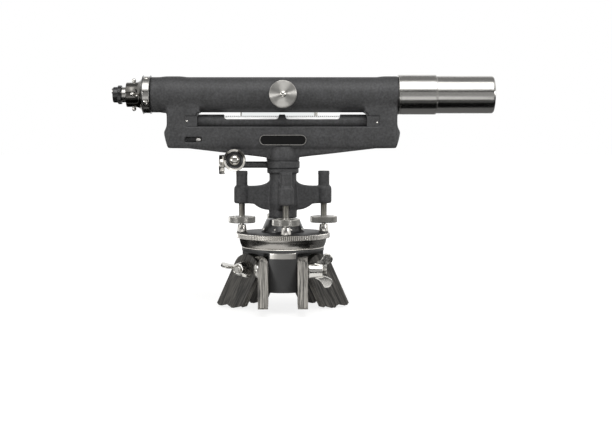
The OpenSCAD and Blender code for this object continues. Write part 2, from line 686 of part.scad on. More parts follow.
half_l = frame_l / 2;
barrel_back = half_l - frame_dx + back_over;
barrel_front = half_l + frame_dx + front_over;
slope_x = 109;
flat_x = 27;
frame_side = let (right = concat(
    [[half_l + 5, axis_z], [half_l + 5, axis_z - barrel_d / 2]],
    bez([half_l + 4, axis_z - barrel_d / 2], [half_l, axis_z - barrel_d / 2],
      [half_l, axis_z - barrel_d / 2 - 5], 6),
    bez([half_l, bar_top_z + 4], [half_l, bar_top_z - 1], [half_l + bulge * 0.85, bar_top_z - 5], 6),
    bez([half_l + bulge, bar_top_z - 7.4], [half_l + bulge * 0.7, bar_top_z - 14],
      [half_l - 0.4, bar_top_z - bar_h_end + 2.5], 6),
    bez([half_l - 1.1, bar_top_z - bar_h_end + 0.7], [half_l - 1.5, bar_top_z - bar_h_end],
      [half_l - 4, bar_top_z - bar_h_end], 4),
    [[slope_x, bar_top_z - bar_h_end - 0.3], [flat_x, bar_mid_z]],
    bez([hub_d / 2 + 5, bar_mid_z - 0.6], [hub_d / 2, bar_mid_z - 1],
      [hub_d / 2 - 0.5, bar_mid_z - 3], 5)))
  concat(right, mirrored(right));
bar_end = [[bar_t / 2, axis_z], [bar_t / 2, bar_top_z - 12],
  [bar_t / 2 - 0.8, bar_top_z - 18]];
bar_section = let (right = concat(bar_end,
    bez([bar_t / 2 - 1, bar_top_z - 19], [bar_t / 2 - 1.6, bar_top_z - bar_h_end + 1],
      [bar_foot_t / 2, bar_top_z - bar_h_end - 0.5], 6),
    [[bar_foot_t / 2 - 1.5, bar_mid_z - hub_h]]))
  concat(right, mirrored(right));
plan_r = 26;
bar_plan = let (c = half_l + bulge + 1 - plan_r, w = asin(bar_t / 2 / plan_r))
  concat(arc([c, 0], plan_r, -w, w, 12), arc([-c, 0], plan_r, 180 - w, 180 + w, 12));
module frame_blank() translate([frame_dx, 0, 0]) intersection() {
  plate_xz(frame_side, bar_t + 2);
  rotate([90, 0, 90]) linear_extrude(frame_l + 40, center = true) polygon(bar_section);
  translate([0, 0, hub_z]) linear_extrude(axis_z - hub_z) polygon(bar_plan);
}
slot_side = let (z = axis_z - barrel_d / 2, r = 4,
    right = concat([[slot_l / 2, bar_top_z]], [[slot_l / 2, z - r]],
      arc([slot_l / 2 - r, z - r], r, 0, 90, 6), [[slot_l / 2 - r, axis_z + 1]]))
  concat(right, mirrored(right));
barrel_profile = let (r = barrel_d / 2, a = half_l - 19, b = half_l - 12)
  concat([[0, -barrel_back], [r, -barrel_back]],
    bez([r, frame_dx - half_l - 9], [r + swell, frame_dx - half_l - 4],
      [r + swell, frame_dx - half_l + 2], 4),
    bez([r + swell, frame_dx - b], [r + swell, frame_dx - a - 2], [r, frame_dx - a + 4], 4),
    bez([r, frame_dx + a - 4], [r + swell, frame_dx + a + 2], [r + swell, frame_dx + b], 4),
    [[r + swell, barrel_front - 0.6], [r + swell - 0.6, barrel_front], [0, barrel_front]]);
recess_h = 12;
recess_back = 8;
window_y = 2.9;
module frame_casting() color("black") difference() {
  union() {
    difference() {
      frame_blank();
      translate([frame_dx, 0, 0]) plate_xz(slot_side, bar_t + 10);
    }
    on_axis() turned_x(barrel_profile);
    translate([0, 0, hub_z]) cylinder(h = hub_h + 2, d = hub_d);
  }
  on_axis() rod_x(-barrel_back - 1, barrel_front + 1, barrel_bore);
  translate([0, 0, hub_z - 1]) cylinder(h = seat_h + 1, d = spindle_d + 2 * eps);
  translate([frame_dx, 0, vial_z])
    rod_x(-slot_l / 2 - eps, slot_l / 2 + eps, vial_case_d + 2 * gap);
  for (s = [-1, 1]) translate([frame_dx + s * (slot_l / 2 + recess_l / 2 - 1), 0, vial_z])
    translate([-recess_l / 2 - 1, -bar_t, -recess_h / 2])
      cube([recess_l + 2, bar_t + recess_back, recess_h]);
  on_axis() rod_x(barrel_front, barrel_front + half_l, ob_head_d + 2 * side_gap);
  on_axis() translate([0, 0, pinion_up]) rod_y(-barrel_d, 0, pinion_out_d + 1);
  translate([nut_slot_x, -bar_t / 2, nut_slot_z]) plate_xz(concat(
    arc([nut_slot_l / 2 - nut_slot_h / 2, 0], nut_slot_h / 2, -90, 90),
    [[-nut_slot_l / 2, nut_slot_h / 2], [-nut_slot_l / 2, -nut_slot_h / 2]]), 16);
  translate([post_x, 0, axis_z - arm_drop])
    rod_y(bar_t / 2 - socket_in, bar_t, socket_d + 2 * eps);
}
nut_slot_x = -104;
nut_slot_z = bar_top_z - 15.3;
nut_slot_l = 20;
nut_slot_h = 5.8;

name_round = name_l / 2 - name_h / 2;
module name_plate() color("dimgray") translate([0, -bar_t / 2 - name_t, bar_top_z - 15.7])
  rotate([-90, 0, 0]) linear_extrude(name_t) polygon(concat(
    arc([name_round, 0], name_h / 2, -90, 90, 12),
    arc([-name_round, 0], name_h / 2, 90, 270, 12)));

// Focusing: rack in the slide, pinion through the side of the barrel

pitch_r = gear_m * pinion_teeth / 2;
pinion_out_d = 2 * (pitch_r + 0.7 * gear_m);
press_angle = 20;
base_r = pitch_r * cos(press_angle);
backlash = 0.22;
rack_pitch = PI * gear_m;
inv_pitch = tan(press_angle) * 180 / PI - press_angle;
tooth_half = 90 / pinion_teeth - backlash / 2 / pitch_r * 90 / PI;
function flank(r) = let (w = acos(base_r / r)) tan(w) * 180 / PI - w;
function flank_angle(r) = tooth_half + inv_pitch - flank(r);
tooth_points = let (radii = [base_r, base_r + 0.25, pitch_r, pitch_r + 0.3, pinion_out_d / 2],
    rise = [for (r = radii) [r, -flank_angle(r)]], root = pitch_r - gear_m)
  concat([[root, -flank_angle(base_r) - 0.5]], rise,
    [for (i = [len(rise) - 1:-1:0]) [rise[i][0], -rise[i][1]]],
    [[root, flank_angle(base_r) + 0.5]]);
// The pinion has a gap straight down, where the rack has a tooth
pinion_points = [for (i = [0:pinion_teeth - 1]) each [for (p = tooth_points)
  let (w = p[1] + (i + 0.5) * 360 / pinion_teeth - 90) p[0] * [cos(w), sin(w)]]];
pinion_y = barrel_bore / 2;
shaft_d = 4;
module focus_pinion() color("silver") on_axis() translate([0, 0, pinion_up]) {
  translate([0, -pinion_y + 2.8, 0]) rotate([90, 0, 0]) linear_extrude(4.8) polygon(pinion_points);
  rod_y(-focus_knob_y - focus_knob_t, -pinion_y + 2.8, shaft_d);
}

rack_back = -focus_travel - 8.5;
rack_front = 8.5;
window_low = -8.5;
window_high = pinion_up + pinion_out_d / 2 + 1;
rack_pitch_z = pinion_up - pitch_r;
rack_add = 0.55;
rack_ded = 1;
rack_half = rack_pitch / 4 - backlash / 4;
rack_teeth = floor((-rack_back - 3) / rack_pitch);
module focus_rack() color("goldenrod") on_axis() intersection() {
  translate([0, -(barrel_bore / 2 - slide_wall - 1.7), 0]) plate_xz(concat(
    [[rack_back, window_low], [rack_front, window_low],
      [rack_front, rack_pitch_z - rack_ded]],
    [for (i = [2:-1:-rack_teeth]) each let (x = i * rack_pitch,
        a = rack_half - rack_add * tan(press_angle), b = rack_half + rack_ded * tan(press_angle))
      [[x + b, rack_pitch_z - rack_ded], [x + a, rack_pitch_z + rack_add],
        [x - a, rack_pitch_z + rack_add], [x - b, rack_pitch_z - rack_ded]]],
    [[rack_back, rack_pitch_z - rack_ded]]), 3.6);
  rod_x(rack_back - 1, rack_front + 1, barrel_bore - 4 * fit);
}

module pinion_plate() color("dimgray") on_axis() difference() {
  union() {
    intersection() {
      rod_x(-9, 11, barrel_d + 5.4);
      translate([-20, -60, -18.9]) cube([40, 60 - 8, 34]);
    }
    translate([0, 0, pinion_up]) rod_y(-focus_knob_y + gap, -barrel_d / 2, 13);
  }
  rod_x(-20, 20, barrel_d + 2 * eps);
  translate([0, 0, pinion_up]) rod_y(-60, 0, shaft_d + 2 * fit);
  translate([0, 0, pinion_up]) rod_y(-barrel_d / 2 - 1.2, 0, pinion_out_d + 1);
}

module focus_knob() color("silver") on_axis() translate([0, -focus_knob_y - focus_knob_t, pinion_up])
  difference() {
    rotate([-90, 0, 0]) rotate_extrude() polygon(concat([[0, -1.9]],
      bez([1.4, -1.9], [3.4, -1.7], [3.75, 0], 5),
      [[focus_knob_d / 2 - 1.2, 0.3], [focus_knob_d / 2 - 0.2, 1.1], [focus_knob_d / 2, 2],
        [focus_knob_d / 2 - 0.6, 5.4], [focus_knob_d / 2 - 1.4, 5.8], [6, 5.8],
        [5.6, focus_knob_t - gap], [0, focus_knob_t - gap]]));
    rod_y(-0.5, focus_knob_t + 1, shaft_d + 2 * eps);
  }

// Objective end

slide_d = barrel_bore - 2 * fit;
slide_back = -50;
ob_x = barrel_front + gap;
cell_x = ob_x + ob_head_l;
joint_l = 15;
module objective_slide() color("silver") on_axis() difference() {
  rod_x(slide_back, ob_x + joint_l, slide_d);
  rod_x(slide_back - 1, ob_x + joint_l + 1, slide_d - 2 * slide_wall);
  translate([rack_back, -barrel_bore, window_low])
    cube([rack_front - rack_back, barrel_bore, window_high - window_low]);
}

grip_d = shade_d - 2 * shade_wall - 2 * fit;
lens_x = cell_x - 6;
lens_t = 9;
module objective_head() color("silver") on_axis() difference() {
  turned_x([[0, ob_x], [ob_head_d / 2 - 0.4, ob_x], [ob_head_d / 2, ob_x + 0.4],
    [ob_head_d / 2, cell_x - 0.5], [ob_head_d / 2 - 0.5, cell_x], [grip_d / 2, cell_x],
    [grip_d / 2, cell_x + grip_l], [0, cell_x + grip_l]]);
  rod_x(ob_x - 1, cell_x + grip_l + 1, slide_d - 2 * slide_wall);
  rod_x(ob_x - 1, ob_x + joint_l, slide_d + 2 * eps);
  rod_x(lens_x, cell_x + grip_l + 1, lens_d + 2 * eps);
}

module objective_lens() color("lightblue", 0.5) on_axis() intersection() {
  rod_x(lens_x, lens_x + lens_t, lens_d);
  translate([lens_x + lens_t - 70, 0, 0]) sphere(r = 70);
}

module sunshade() color("silver") on_axis() difference() {
  turned_x(concat([[0, cell_x + side_gap], [shade_d / 2, cell_x + side_gap]],
    bez([shade_d / 2, cell_x + shade_l - 3], [shade_d / 2, cell_x + shade_l - 0.4],
      [shade_d / 2 - 1, cell_x + shade_l], 6), [[0, cell_x + shade_l]]));
  rod_x(cell_x - 1, cell_x + shade_l + 1, shade_d - 2 * shade_wall);
}

// Eyepiece end

flange_x = -barrel_back - flange_l;
mount_x = flange_x - mount_l;
eye_ring_x = mount_x - draw_l;
eye_cap_x = eye_ring_x - mill_l;
eye_end_x = eye_cap_x - eye_cap_l;
spigot_l = 4;
module eyepiece_flange() color("silver") on_axis() difference() {
  turned_x(concat([[0, flange_x]],
    bez([flange_d / 2 - 0.8, flange_x], [flange_d / 2, flange_x + 0.3],
      [flange_d / 2, flange_x + 1.6], 4),
    bez([flange_d / 2 - 0.2, flange_x + 2.4], [flange_d / 2 - 1.5, flange_x + flange_l / 2],
      [flange_d / 2 - 0.2, -barrel_back - 2.4], 6),
    bez([flange_d / 2, -barrel_back - 1.6], [flange_d / 2, -barrel_back - 0.2],
      [flange_d / 2 - 0.8, -barrel_back], 4),
    [[barrel_bore / 2 - eps, -barrel_back], [barrel_bore / 2 - eps, -barrel_back + spigot_l],
      [0, -barrel_back + spigot_l]]));
  rod_x(flange_x - 1, -barrel_back + spigot_l + 1, mount_bore + 2);
  for (i = [0:3]) rotate([90 * i + 27, 0, 0]) translate([flange_x + flange_l / 2, 0, 0])
    rod_y(-flange_d / 2 - 1, -flange_d / 2 + 2.4, flange_screw_d + 1.4);
}
flange_screw_d = 5.8;
mount_bore = 25;
capstan_x = mount_x + 8.6;
module eyepiece_mount() color("black") on_axis() difference() {
  turned_x(concat([[0, mount_x], [mount_d / 2 - 0.6, mount_x], [mount_d / 2, mount_x + 0.6]],
    bez([mount_d / 2, mount_x + 11], [mount_d / 2 + 0.6, flange_x - 3], [barrel_d / 2, flange_x]),
    [[0, flange_x]]));
  rod_x(mount_x - 1, flange_x, draw_d + 2 * fit);
  rod_x(mount_x + 6, flange_x + 1, mount_bore);
  for (i = [0:3]) rotate([90 * i, 0, 0]) translate([capstan_x, 0, 0])
    rod_y(mount_bore / 4, mount_d, capstan_stem + 2 * gap);
}
capstan_stem = 2.6;
capstan_head = 4.9;
module eyepiece_screws() color("silver") on_axis() {
  for (i = [0:3]) rotate([90 * i, 0, 0]) translate([capstan_x, 0, 0]) {
    rod_y(reticle_d / 2, mount_d / 2 + 1, capstan_stem);
    turned_y([[0, mount_d / 2 + gap / 2], [capstan_head / 2, mount_d / 2 + gap / 2],
      [capstan_head / 2, mount_d / 2 + 4.3], [capstan_head / 2 - 0.6, mount_d / 2 + 4.8],
      [0, mount_d / 2 + 4.8]]);
  }
  for (i = [0:3]) rotate([90 * i + 27, 0, 0]) translate([flange_x + flange_l / 2, 0, 0])
    difference() {
      rod_y(-flange_d / 2, -flange_d / 2 + 2.4, flange_screw_d);
      translate([-0.5, -flange_d / 2 - 1, -flange_screw_d])
        cube([1, 1.8, 2 * flange_screw_d]);
    }
}

reticle_d = 19;
module reticle() color("goldenrod") on_axis() {
  difference() {
    rod_x(capstan_x - 2.2, capstan_x + 2.2, reticle_d);
    rod_x(capstan_x - 3, capstan_x + 3, reticle_d - 6);
  }
  rod_x(capstan_x - 0.4, capstan_x + 0.4, reticle_d - 6 + 2 * eps);
}

draw_in = mount_x + 3.8;
draw_neck_d = 13;
module eyepiece_tube() color("black") on_axis() difference() {
  union() {
    rod_x(eye_ring_x + side_gap, draw_in, draw_d);
    rod_x(eye_end_x + 1.4, eye_ring_x + 1, draw_neck_d);
  }
  rod_x(eye_end_x, draw_in + 1, draw_neck_d - 2);
}
module eyepiece_lenses() color("lightblue", 0.5) on_axis() {
  rod_x(eye_cap_x - 3, eye_cap_x - 0.5, draw_neck_d - 2);
  rod_x(draw_in - 3, draw_in - 0.5, draw_neck_d - 2);
}
module eye_cap() color("black") on_axis() difference() {
  turned_x([[0, eye_end_x], [eye_cap_d / 2 - 1.2, eye_end_x], [eye_cap_d / 2, eye_end_x + 0.8],
    [eye_cap_d / 2, eye_cap_x], [mill_d / 2 - 0.6, eye_cap_x], [mill_d / 2, eye_cap_x + 0.6],
    [mill_d / 2, eye_ring_x - 0.6], [mill_d / 2 - 0.6, eye_ring_x], [0, eye_ring_x]]);
  rod_x(eye_end_x - 1, eye_ring_x + 1, eye_hole_d);
  rod_x(eye_end_x + 1.2, eye_ring_x + 1, draw_neck_d + 2 * fit);
  translate([0, pivot_y, pivot_z]) rod_x(eye_end_x - 1, eye_end_x + 1.3, pin_d + 2 * fit);
}
pivot_y = -4.4;
pivot_z = 4;
pin_d = 1.6;
shutter_t = 0.8;
module eye_shutter() color("silver") on_axis() {
  translate([eye_end_x - side_gap - shutter_t, 0, 0]) rotate([90, 0, 90]) linear_extrude(shutter_t)
    polygon(concat(arc([0, 0], eye_cap_d / 2 - 1.4, -8, 156, 14),
      arc([0, 0], eye_hole_d / 2 + 0.6, 170, -30, 10)));
  translate([0, pivot_y, pivot_z]) rod_x(eye_end_x - side_gap - shutter_t - 0.5,
    eye_end_x + 1, pin_d);
}

// Vial

vial_l = slot_l - 2 * vial_gap;
case_from = frame_dx - vial_l / 2;
case_to = frame_dx + vial_l / 2;
module vial_window() {
  low = window_y;
  top = vial_case_d;
  lean = 3;
  rotate([90, 0, 0]) linear_extrude(vial_case_d + 2, center = true)
    polygon(concat(bez([lean, low], [0.5, low], [0, low + 2], 4), [[-lean, top]],
      [[window_l + lean, top]], bez([window_l, low + 2], [window_l - 0.5, low],
        [window_l - lean, low], 4)));
}
module vial_case() color("silver") translate([0, 0, vial_z]) {
  difference() {
    rod_x(case_from, case_to, vial_case_d);
    rod_x(case_from - 1, case_to + 1, vial_case_d - 2 * vial_wall);
    translate([frame_dx + bridge_l / 2, 0, 0]) vial_window();
    translate([frame_dx - bridge_l / 2 - window_l, 0, 0]) vial_window();
  }
  for (s = [0, 1]) mirror([s, 0, 0]) translate([s == 0 ? case_to : -case_from, 0, 0]) {
    rod_x(-7, 0, vial_case_d - 2 * vial_wall);
    rod_x(-eps, 3.4, 6);
  }
}
module vial_glass() color("lightblue", 0.5) translate([frame_dx, 0, vial_z]) {
  half = vial_l / 2 - 7 - gap;
  turned_x(concat(arc([0, half - 5], 5, 90, 0, 6), arc([0, 5 - half], 5, 0, -90, 6)));
  rod_x(6 - half, half - 6, vial_d);
}
// Nuts on posts at the ends of the vial, and the nut in the slot of the bar
module adjusting_nuts() color("silver") {
  for (s = [-1, 1]) translate([frame_dx + s * (slot_l / 2 + recess_l - 6), -11, vial_z]) {
    translate([0, 0, -recess_h / 2]) cylinder(h = recess_h, d = 3);
    rotate_extrude() polygon([[0, -2.2], [2.8, -2.2], [3.4, -1.4], [3.4, 1.4], [2.8, 2.2],
      [0, 2.2]]);
  }
  translate([nut_slot_x + nut_slot_l / 2 - nut_slot_h / 2, -bar_t / 2 + 4.9, nut_slot_z]) {
    rod_x(-4, 0, nut_slot_h - 0.4);
    sphere(d = nut_slot_h - 0.4);
  }
}

// Mirror on its universal joint

socket_in = 8;
socket_d = 6.6;
socket_l = 18;
arm_pin_d = 3.6;
ring_yoke_d = 14;
ring_yoke_h = 8;
stem_mirror_d = 4;
mirror_z = axis_z - mirror_drop - mirror_h;
module at_arm() translate([post_x, 0, axis_z - arm_drop]) children();
module mirror_socket() color("dimgray") at_arm() difference() {
  rod_y(bar_t / 2 - socket_in, bar_t / 2 + socket_l, socket_d);
  rod_y(bar_t / 2 - socket_in + 1, bar_t / 2 + socket_l + 1, arm_pin_d + 2 * fit);
}
module mirror_arm() color("silver") at_arm() difference() {
  union() {
    rod_y(bar_t / 2 - socket_in + 1 + gap, bar_t / 2 + socket_l + 1, arm_pin_d);
    rod_y(bar_t / 2 + socket_l + side_gap, post_y, 5.2);
    translate([0, post_y, -ring_yoke_h / 2]) cylinder(h = ring_yoke_h, d = ring_yoke_d);
  }
  translate([0, post_y, -ring_yoke_h]) cylinder(h = 2 * ring_yoke_h, d = stem_mirror_d + 2 * fit);
}
nut_ball_d = 11.2;
mirror_rim = 1.6;
spring_h = 5;
module mirror_holder() color("silver") at_arm() translate([0, post_y, 0]) {
  translate([0, 0, -21]) cylinder(h = 25 + side_gap + eps, d = stem_mirror_d);
  translate([0, 0, ring_yoke_h / 2 + side_gap])
    cylinder(h = arm_drop - mirror_drop - mirror_h + mirror_rim - ring_yoke_h / 2 - 2 * side_gap,
      d = mirror_post_d);
  rotate(-45) translate([-mirror_l / 2, -mirror_t / 2, arm_drop - mirror_drop - mirror_h])
    difference() {
      cube([mirror_l, mirror_t, mirror_h]);
      translate([mirror_rim, -1, mirror_rim])
        cube([mirror_l - 2 * mirror_rim, mirror_t - 0.6, mirror_h - 2 * mirror_rim]);
    }
}
module mirror_glass() color("lightgray") at_arm() translate([0, post_y, 0])
  rotate(-45) translate([mirror_rim + eps - mirror_l / 2, -mirror_t / 2 + 0.6,
    arm_drop - mirror_drop - mirror_h + mirror_rim + eps])
    cube([mirror_l - 2 * (mirror_rim + eps), mirror_t - 2.2 - eps,
      mirror_h - 2 * (mirror_rim + eps)]);
module joint_spring() color("silver") at_arm()
  translate([0, post_y, -ring_yoke_h / 2 - gap - spring_h]) coil(6.8, 0.9, spring_h, coil_turns);
module joint_nut() color("silver") at_arm() difference() {
  translate([0, post_y, -ring_yoke_h / 2 - 2 * gap - spring_h]) {
    translate([0, 0, -nut_ball_d / 2 - 1]) intersection() {
      sphere(d = nut_ball_d);
      cylinder(h = 2 * (nut_ball_d / 2 - 0.6), d = nut_ball_d, center = true);
    }
    translate([0, 0, -2]) cylinder(h = 2, d = 6.4);
  }
  translate([0, post_y, -40]) cylinder(h = 40, d = stem_mirror_d + 2 * eps);
}

tripod_head();
leg_bolts();
leg_front();
leg_right();
leg_left();
wing_nut_front();
wing_nut_right();
wing_nut_left();
foot_plate();
ball_cover();
screw_shoes();
half_ball();
levelling_head();
post_caps();
ball_foot_1();
ball_foot_2();
ball_foot_3();
ball_foot_4();
levelling_screw_1();
levelling_screw_2();
levelling_screw_3();
levelling_screw_4();
centre_spindle();
spindle_nut();
clamp_collar();
clamp_shoe();
clamp_screw();
tangent_bracket();
tangent_screw();
thrust_tip();
spring_box();
spring_plunger();
plunger_spring();
frame_casting();
name_plate();
pinion_plate();
focus_pinion();
focus_knob();
objective_slide();
focus_rack();
objective_head();
objective_lens();
sunshade();
eyepiece_flange();
eyepiece_mount();
eyepiece_screws();
reticle();
eyepiece_tube();
eyepiece_lenses();
eye_cap();
eye_shutter();
vial_case();
vial_glass();
adjusting_nuts();
mirror_socket();
mirror_arm();
mirror_holder();
mirror_glass();
joint_spring();
joint_nut();
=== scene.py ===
import math

import bpy
from mathutils import Matrix, Vector, noise


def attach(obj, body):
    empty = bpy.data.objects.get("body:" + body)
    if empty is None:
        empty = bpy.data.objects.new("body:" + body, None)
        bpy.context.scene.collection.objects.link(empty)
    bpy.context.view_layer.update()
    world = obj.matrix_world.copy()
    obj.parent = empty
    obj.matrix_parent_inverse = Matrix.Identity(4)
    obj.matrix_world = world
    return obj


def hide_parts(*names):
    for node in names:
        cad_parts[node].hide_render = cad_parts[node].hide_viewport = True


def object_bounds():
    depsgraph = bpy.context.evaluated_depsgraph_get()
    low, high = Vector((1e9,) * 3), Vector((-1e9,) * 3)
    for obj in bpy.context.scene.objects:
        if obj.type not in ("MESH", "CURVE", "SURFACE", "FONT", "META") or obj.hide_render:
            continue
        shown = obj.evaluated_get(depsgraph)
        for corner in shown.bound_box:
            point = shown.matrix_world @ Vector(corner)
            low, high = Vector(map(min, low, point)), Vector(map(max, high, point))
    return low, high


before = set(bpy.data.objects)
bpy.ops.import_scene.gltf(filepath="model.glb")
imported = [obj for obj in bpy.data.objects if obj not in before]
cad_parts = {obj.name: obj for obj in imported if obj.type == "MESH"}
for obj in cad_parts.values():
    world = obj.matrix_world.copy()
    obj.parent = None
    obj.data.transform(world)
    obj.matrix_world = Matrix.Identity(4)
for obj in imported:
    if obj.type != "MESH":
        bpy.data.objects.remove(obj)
cad_box = [list(corner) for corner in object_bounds()]

# Photographer's table. The instrument stands on a pale sheet in a white room, under a wide soft
# lamp above the camera and a small one at each side. Dark and grey cards that only reflections
# see stand round it, as for any photograph of bright metal. Places are in metres.
SHEET = "#d6d5d2"
SHEET_GLOW = (1.62, 2.0)
GLOW_REACH = (0.15, 1.2)
GLOW_SHARE = 0.5
ROOM_DIM = 0.5
LAMP_AIM = (0, 0, 0.15)
CARD_BLACK = "#0c0c0c"
LENS_MM = 65.15
DISTANCE = 1.306
EYE_HEIGHT = 0.1241
SHIFT = 0.0377
DIP_DEG = 3.535


def linear(hex_colour):
    """An sRGB hex colour as a linear RGBA colour."""
    parts = [int(hex_colour[i:i + 2], 16) / 255 for i in (1, 3, 5)]
    return [p / 12.92 if p <= 0.04045 else ((p + 0.055) / 1.055) ** 2.4 for p in parts] + [1.0]


def add(tree, kind, inputs=None, **settings):
    """Adds a shader node; an input given as another node's output is linked to it."""
    made = tree.nodes.new("ShaderNode" + kind)
    for name, value in settings.items():
        setattr(made, name, value)
    for name, value in (inputs or {}).items():
        if isinstance(value, bpy.types.NodeSocket):
            tree.links.new(value, made.inputs[name])
        else:
            made.inputs[name].default_value = value
    return made


def finish(name, **surface):
    """A material with one Principled surface and its Object coordinates."""
    made = bpy.data.materials.new(name)
    made.use_nodes = True
    tree = made.node_tree
    tree.nodes.clear()
    skin = add(tree, "BsdfPrincipled", surface)
    add(tree, "OutputMaterial", {"Surface": skin.outputs["BSDF"]})
    place = add(tree, "TexCoord").outputs["Object"]
    return made, tree, skin, place


def bare():
    """Ends edit mode and deselects everything."""
    if bpy.context.object and bpy.context.object.mode != "OBJECT":
        bpy.ops.object.mode_set(mode="OBJECT")
    bpy.ops.object.select_all(action="DESELECT")


def seen_directly(tree):
    """1 for what the camera, a reflection or a look through glass meets, 0 for bounced light."""
    seen = add(tree, "LightPath")
    first = add(tree, "Math", {0: seen.outputs["Is Camera Ray"],
                               1: seen.outputs["Is Glossy Ray"]}, operation="MAXIMUM")
    return add(tree, "Math", {0: first.outputs[0], 1: seen.outputs["Is Transmission Ray"]},
               operation="MAXIMUM").outputs[0]


floor_z = cad_box[0][2]
# Matt paper: the camera and the metal see it almost white, and it keeps the object's shadow.
bare()
bpy.ops.mesh.primitive_plane_add(size=30, location=(0, 0, floor_z - 0.0002))
table = bpy.context.object
table.name = "table_sheet"
paper, tree, skin, place = finish("pale paper sheet", **{"Base Color": linear(SHEET),
                                                         "Roughness": 0.9})
far = add(tree, "VectorMath", {0: place}, operation="LENGTH")
lift = add(tree, "MapRange", {
    "Value": far.outputs["Value"], "From Min": GLOW_REACH[0], "From Max": GLOW_REACH[1],
    "To Min": SHEET_GLOW[0], "To Max": SHEET_GLOW[1]}, interpolation_type="SMOOTHSTEP")
glow = add(tree, "Emission", {"Color": (1, 1, 1, 1), "Strength": lift.outputs[0]})
share = add(tree, "Math", {0: seen_directly(tree), 1: GLOW_SHARE}, operation="MULTIPLY")
both = add(tree, "MixShader", {0: share.outputs[0], 1: skin.outputs[0], 2: glow.outputs[0]})
tree.links.new(both.outputs[0], tree.nodes["Material Output"].inputs["Surface"])
table.data.materials.append(paper)

room = bpy.data.worlds.new("white room")
bpy.context.scene.world = room
room.use_nodes = True
tree = room.node_tree
tree.nodes.clear()
dim = add(tree, "Background", {"Color": (1, 1, 1, 1), "Strength": ROOM_DIM})
white = add(tree, "Background", {"Color": (1, 1, 1, 1), "Strength": 1.0})
both = add(tree, "MixShader", {0: seen_directly(tree), 1: dim.outputs[0], 2: white.outputs[0]})
add(tree, "OutputWorld", {"Surface": both.outputs[0]})


def card(name, colour, x, y, z):
    """A plain card of the studio, seen only in reflections; x, y and z are ranges in metres."""
    bare()
    bpy.ops.mesh.primitive_plane_add(size=1)
    made = bpy.context.object
    made.name = made.data.name = name
    flat = z[0] == z[1]
    for v in made.data.vertices:
        a, b = v.co.x + 0.5, v.co.y + 0.5
        v.co = (x[0] + (x[1] - x[0]) * a, y[0] + (y[1] - y[0]) * (a if x[0] == x[1] else b),
                z[0] if flat else z[0] + (z[1] - z[0]) * b)
    board, tree, skin, place = finish(name + " board", **{"Base Color": linear(colour)})
    glow = add(tree, "Emission", {"Color": linear(colour), "Strength": 1.0})
    tree.links.new(glow.outputs[0], tree.nodes["Material Output"].inputs["Surface"])
    made.data.materials.append(board)
    made.visible_camera = made.visible_diffuse = made.visible_shadow = False
    made.visible_transmission = made.visible_volume_scatter = False


low = floor_z + 0.001
card("black_card_right", CARD_BLACK, (0.07, 0.8), (-0.21, -0.02), (low, low))
card("black_card_front_left", CARD_BLACK, (-0.8, -0.13), (-0.21, -0.02), (low, low))
card("grey_card_under", "#777777", (-0.8, 0.8), (-0.02, 0.7), (low, low))
card("grey_card_middle", "#555555", (-0.9, 0.9), (-0.73, -0.21), (low, low))
card("pale_card_front", "#c8c8c8", (-1.1, 1.1), (-1.6, -0.73), (low, low))
card("small_white_card", "#ffffff", (-0.45, 0.45), (-1.0, -0.42), (low + 0.002, low + 0.002))
card("black_card_behind", CARD_BLACK, (-0.8, -0.12), (0.03, 0.9), (low + 0.002, low + 0.002))
card("black_card_small", CARD_BLACK, (0.03, 0.075), (-0.2, -0.11), (low + 0.002, low + 0.002))
card("black_card_left", CARD_BLACK, (-0.8, -0.8), (0.0, 0.9), (low, 0.12))
card("black_card_beside", "#101010", (0.9, 0.9), (-1.2, 0.3), (low, 0.1))
card("grey_wall_low", "#a5a5a5", (-1.0, 1.0), (-1.6, -1.6), (low, 0.58))
card("dark_wall_high", "#444444", (-1.2, 1.2), (-1.6, -1.6), (0.58, 0.95))
for side, name in ((-1, "left"), (1, "right")):
    card("dark_card_high_" + name, "#1c1c1c", (side * 2.6, side * 1.25), (-1.5, -1.5),
         (0.75, 2.4))
    card("dark_card_low_" + name, "#1c1c1c", (side * 2.2, side * 0.95), (-1.5, -0.25),
         (low, low))
card("grey_ceiling", "#949494", (-1.2, 1.2), (-0.1, 1.4), (1.5, 1.5))


def lamp(name, place, wide, high, watts):
    """A soft lamp aimed at the instrument."""
    data = bpy.data.lights.new(name, "AREA")
    data.shape = "RECTANGLE"
    data.size = wide
    data.size_y = high
    data.energy = watts
    made = bpy.data.objects.new(name, data)
    bpy.context.scene.collection.objects.link(made)
    made.location = place
    aim = Vector(LAMP_AIM) - Vector(place)
    made.rotation_euler = aim.to_track_quat("-Z", "Y").to_euler()


lamp("front lamp", (0.1, -0.78, 1.25), 1.15, 1.0, 9.4)
lamp("left lamp", (-1.2, -1.0, 0.06), 0.4, 0.3, 4.0)
lamp("right lamp", (1.2, -1.0, 0.42), 0.4, 0.3, 4.0)

camera = bpy.data.objects.new("camera", bpy.data.cameras.new("camera"))
bpy.context.scene.collection.objects.link(camera)
camera.data.lens = LENS_MM
camera.data.sensor_width = 36
camera.data.clip_start = 0.05
camera.data.shift_x = SHIFT
camera.location = (0, -DISTANCE, EYE_HEIGHT)
camera.rotation_euler = (math.radians(90 - DIP_DEG), 0, 0)
bpy.context.scene.camera = camera
bpy.context.scene.view_settings.view_transform = "Standard"

# Tripod head. A rough bronze casting, lacquered dark, with three lugs for the legs. The lathe
# has cut a bare band across the top of each lug where the disc was turned.
HEAD_LACQUER = "#333333"
HEAD_BARE = "#c4c1bb"
BAND_LOW = -9.0
BAND_HIGH = -2.9
LUG_FROM = 47.0
LUG_HALF = 15.0
MOTTLE_MM = 16.67
WEAR_MM = 22.22


def alone(obj):
    """Makes one object the only selected one, and the active one."""
    bare()
    obj.select_set(True)
    bpy.context.view_layer.objects.active = obj


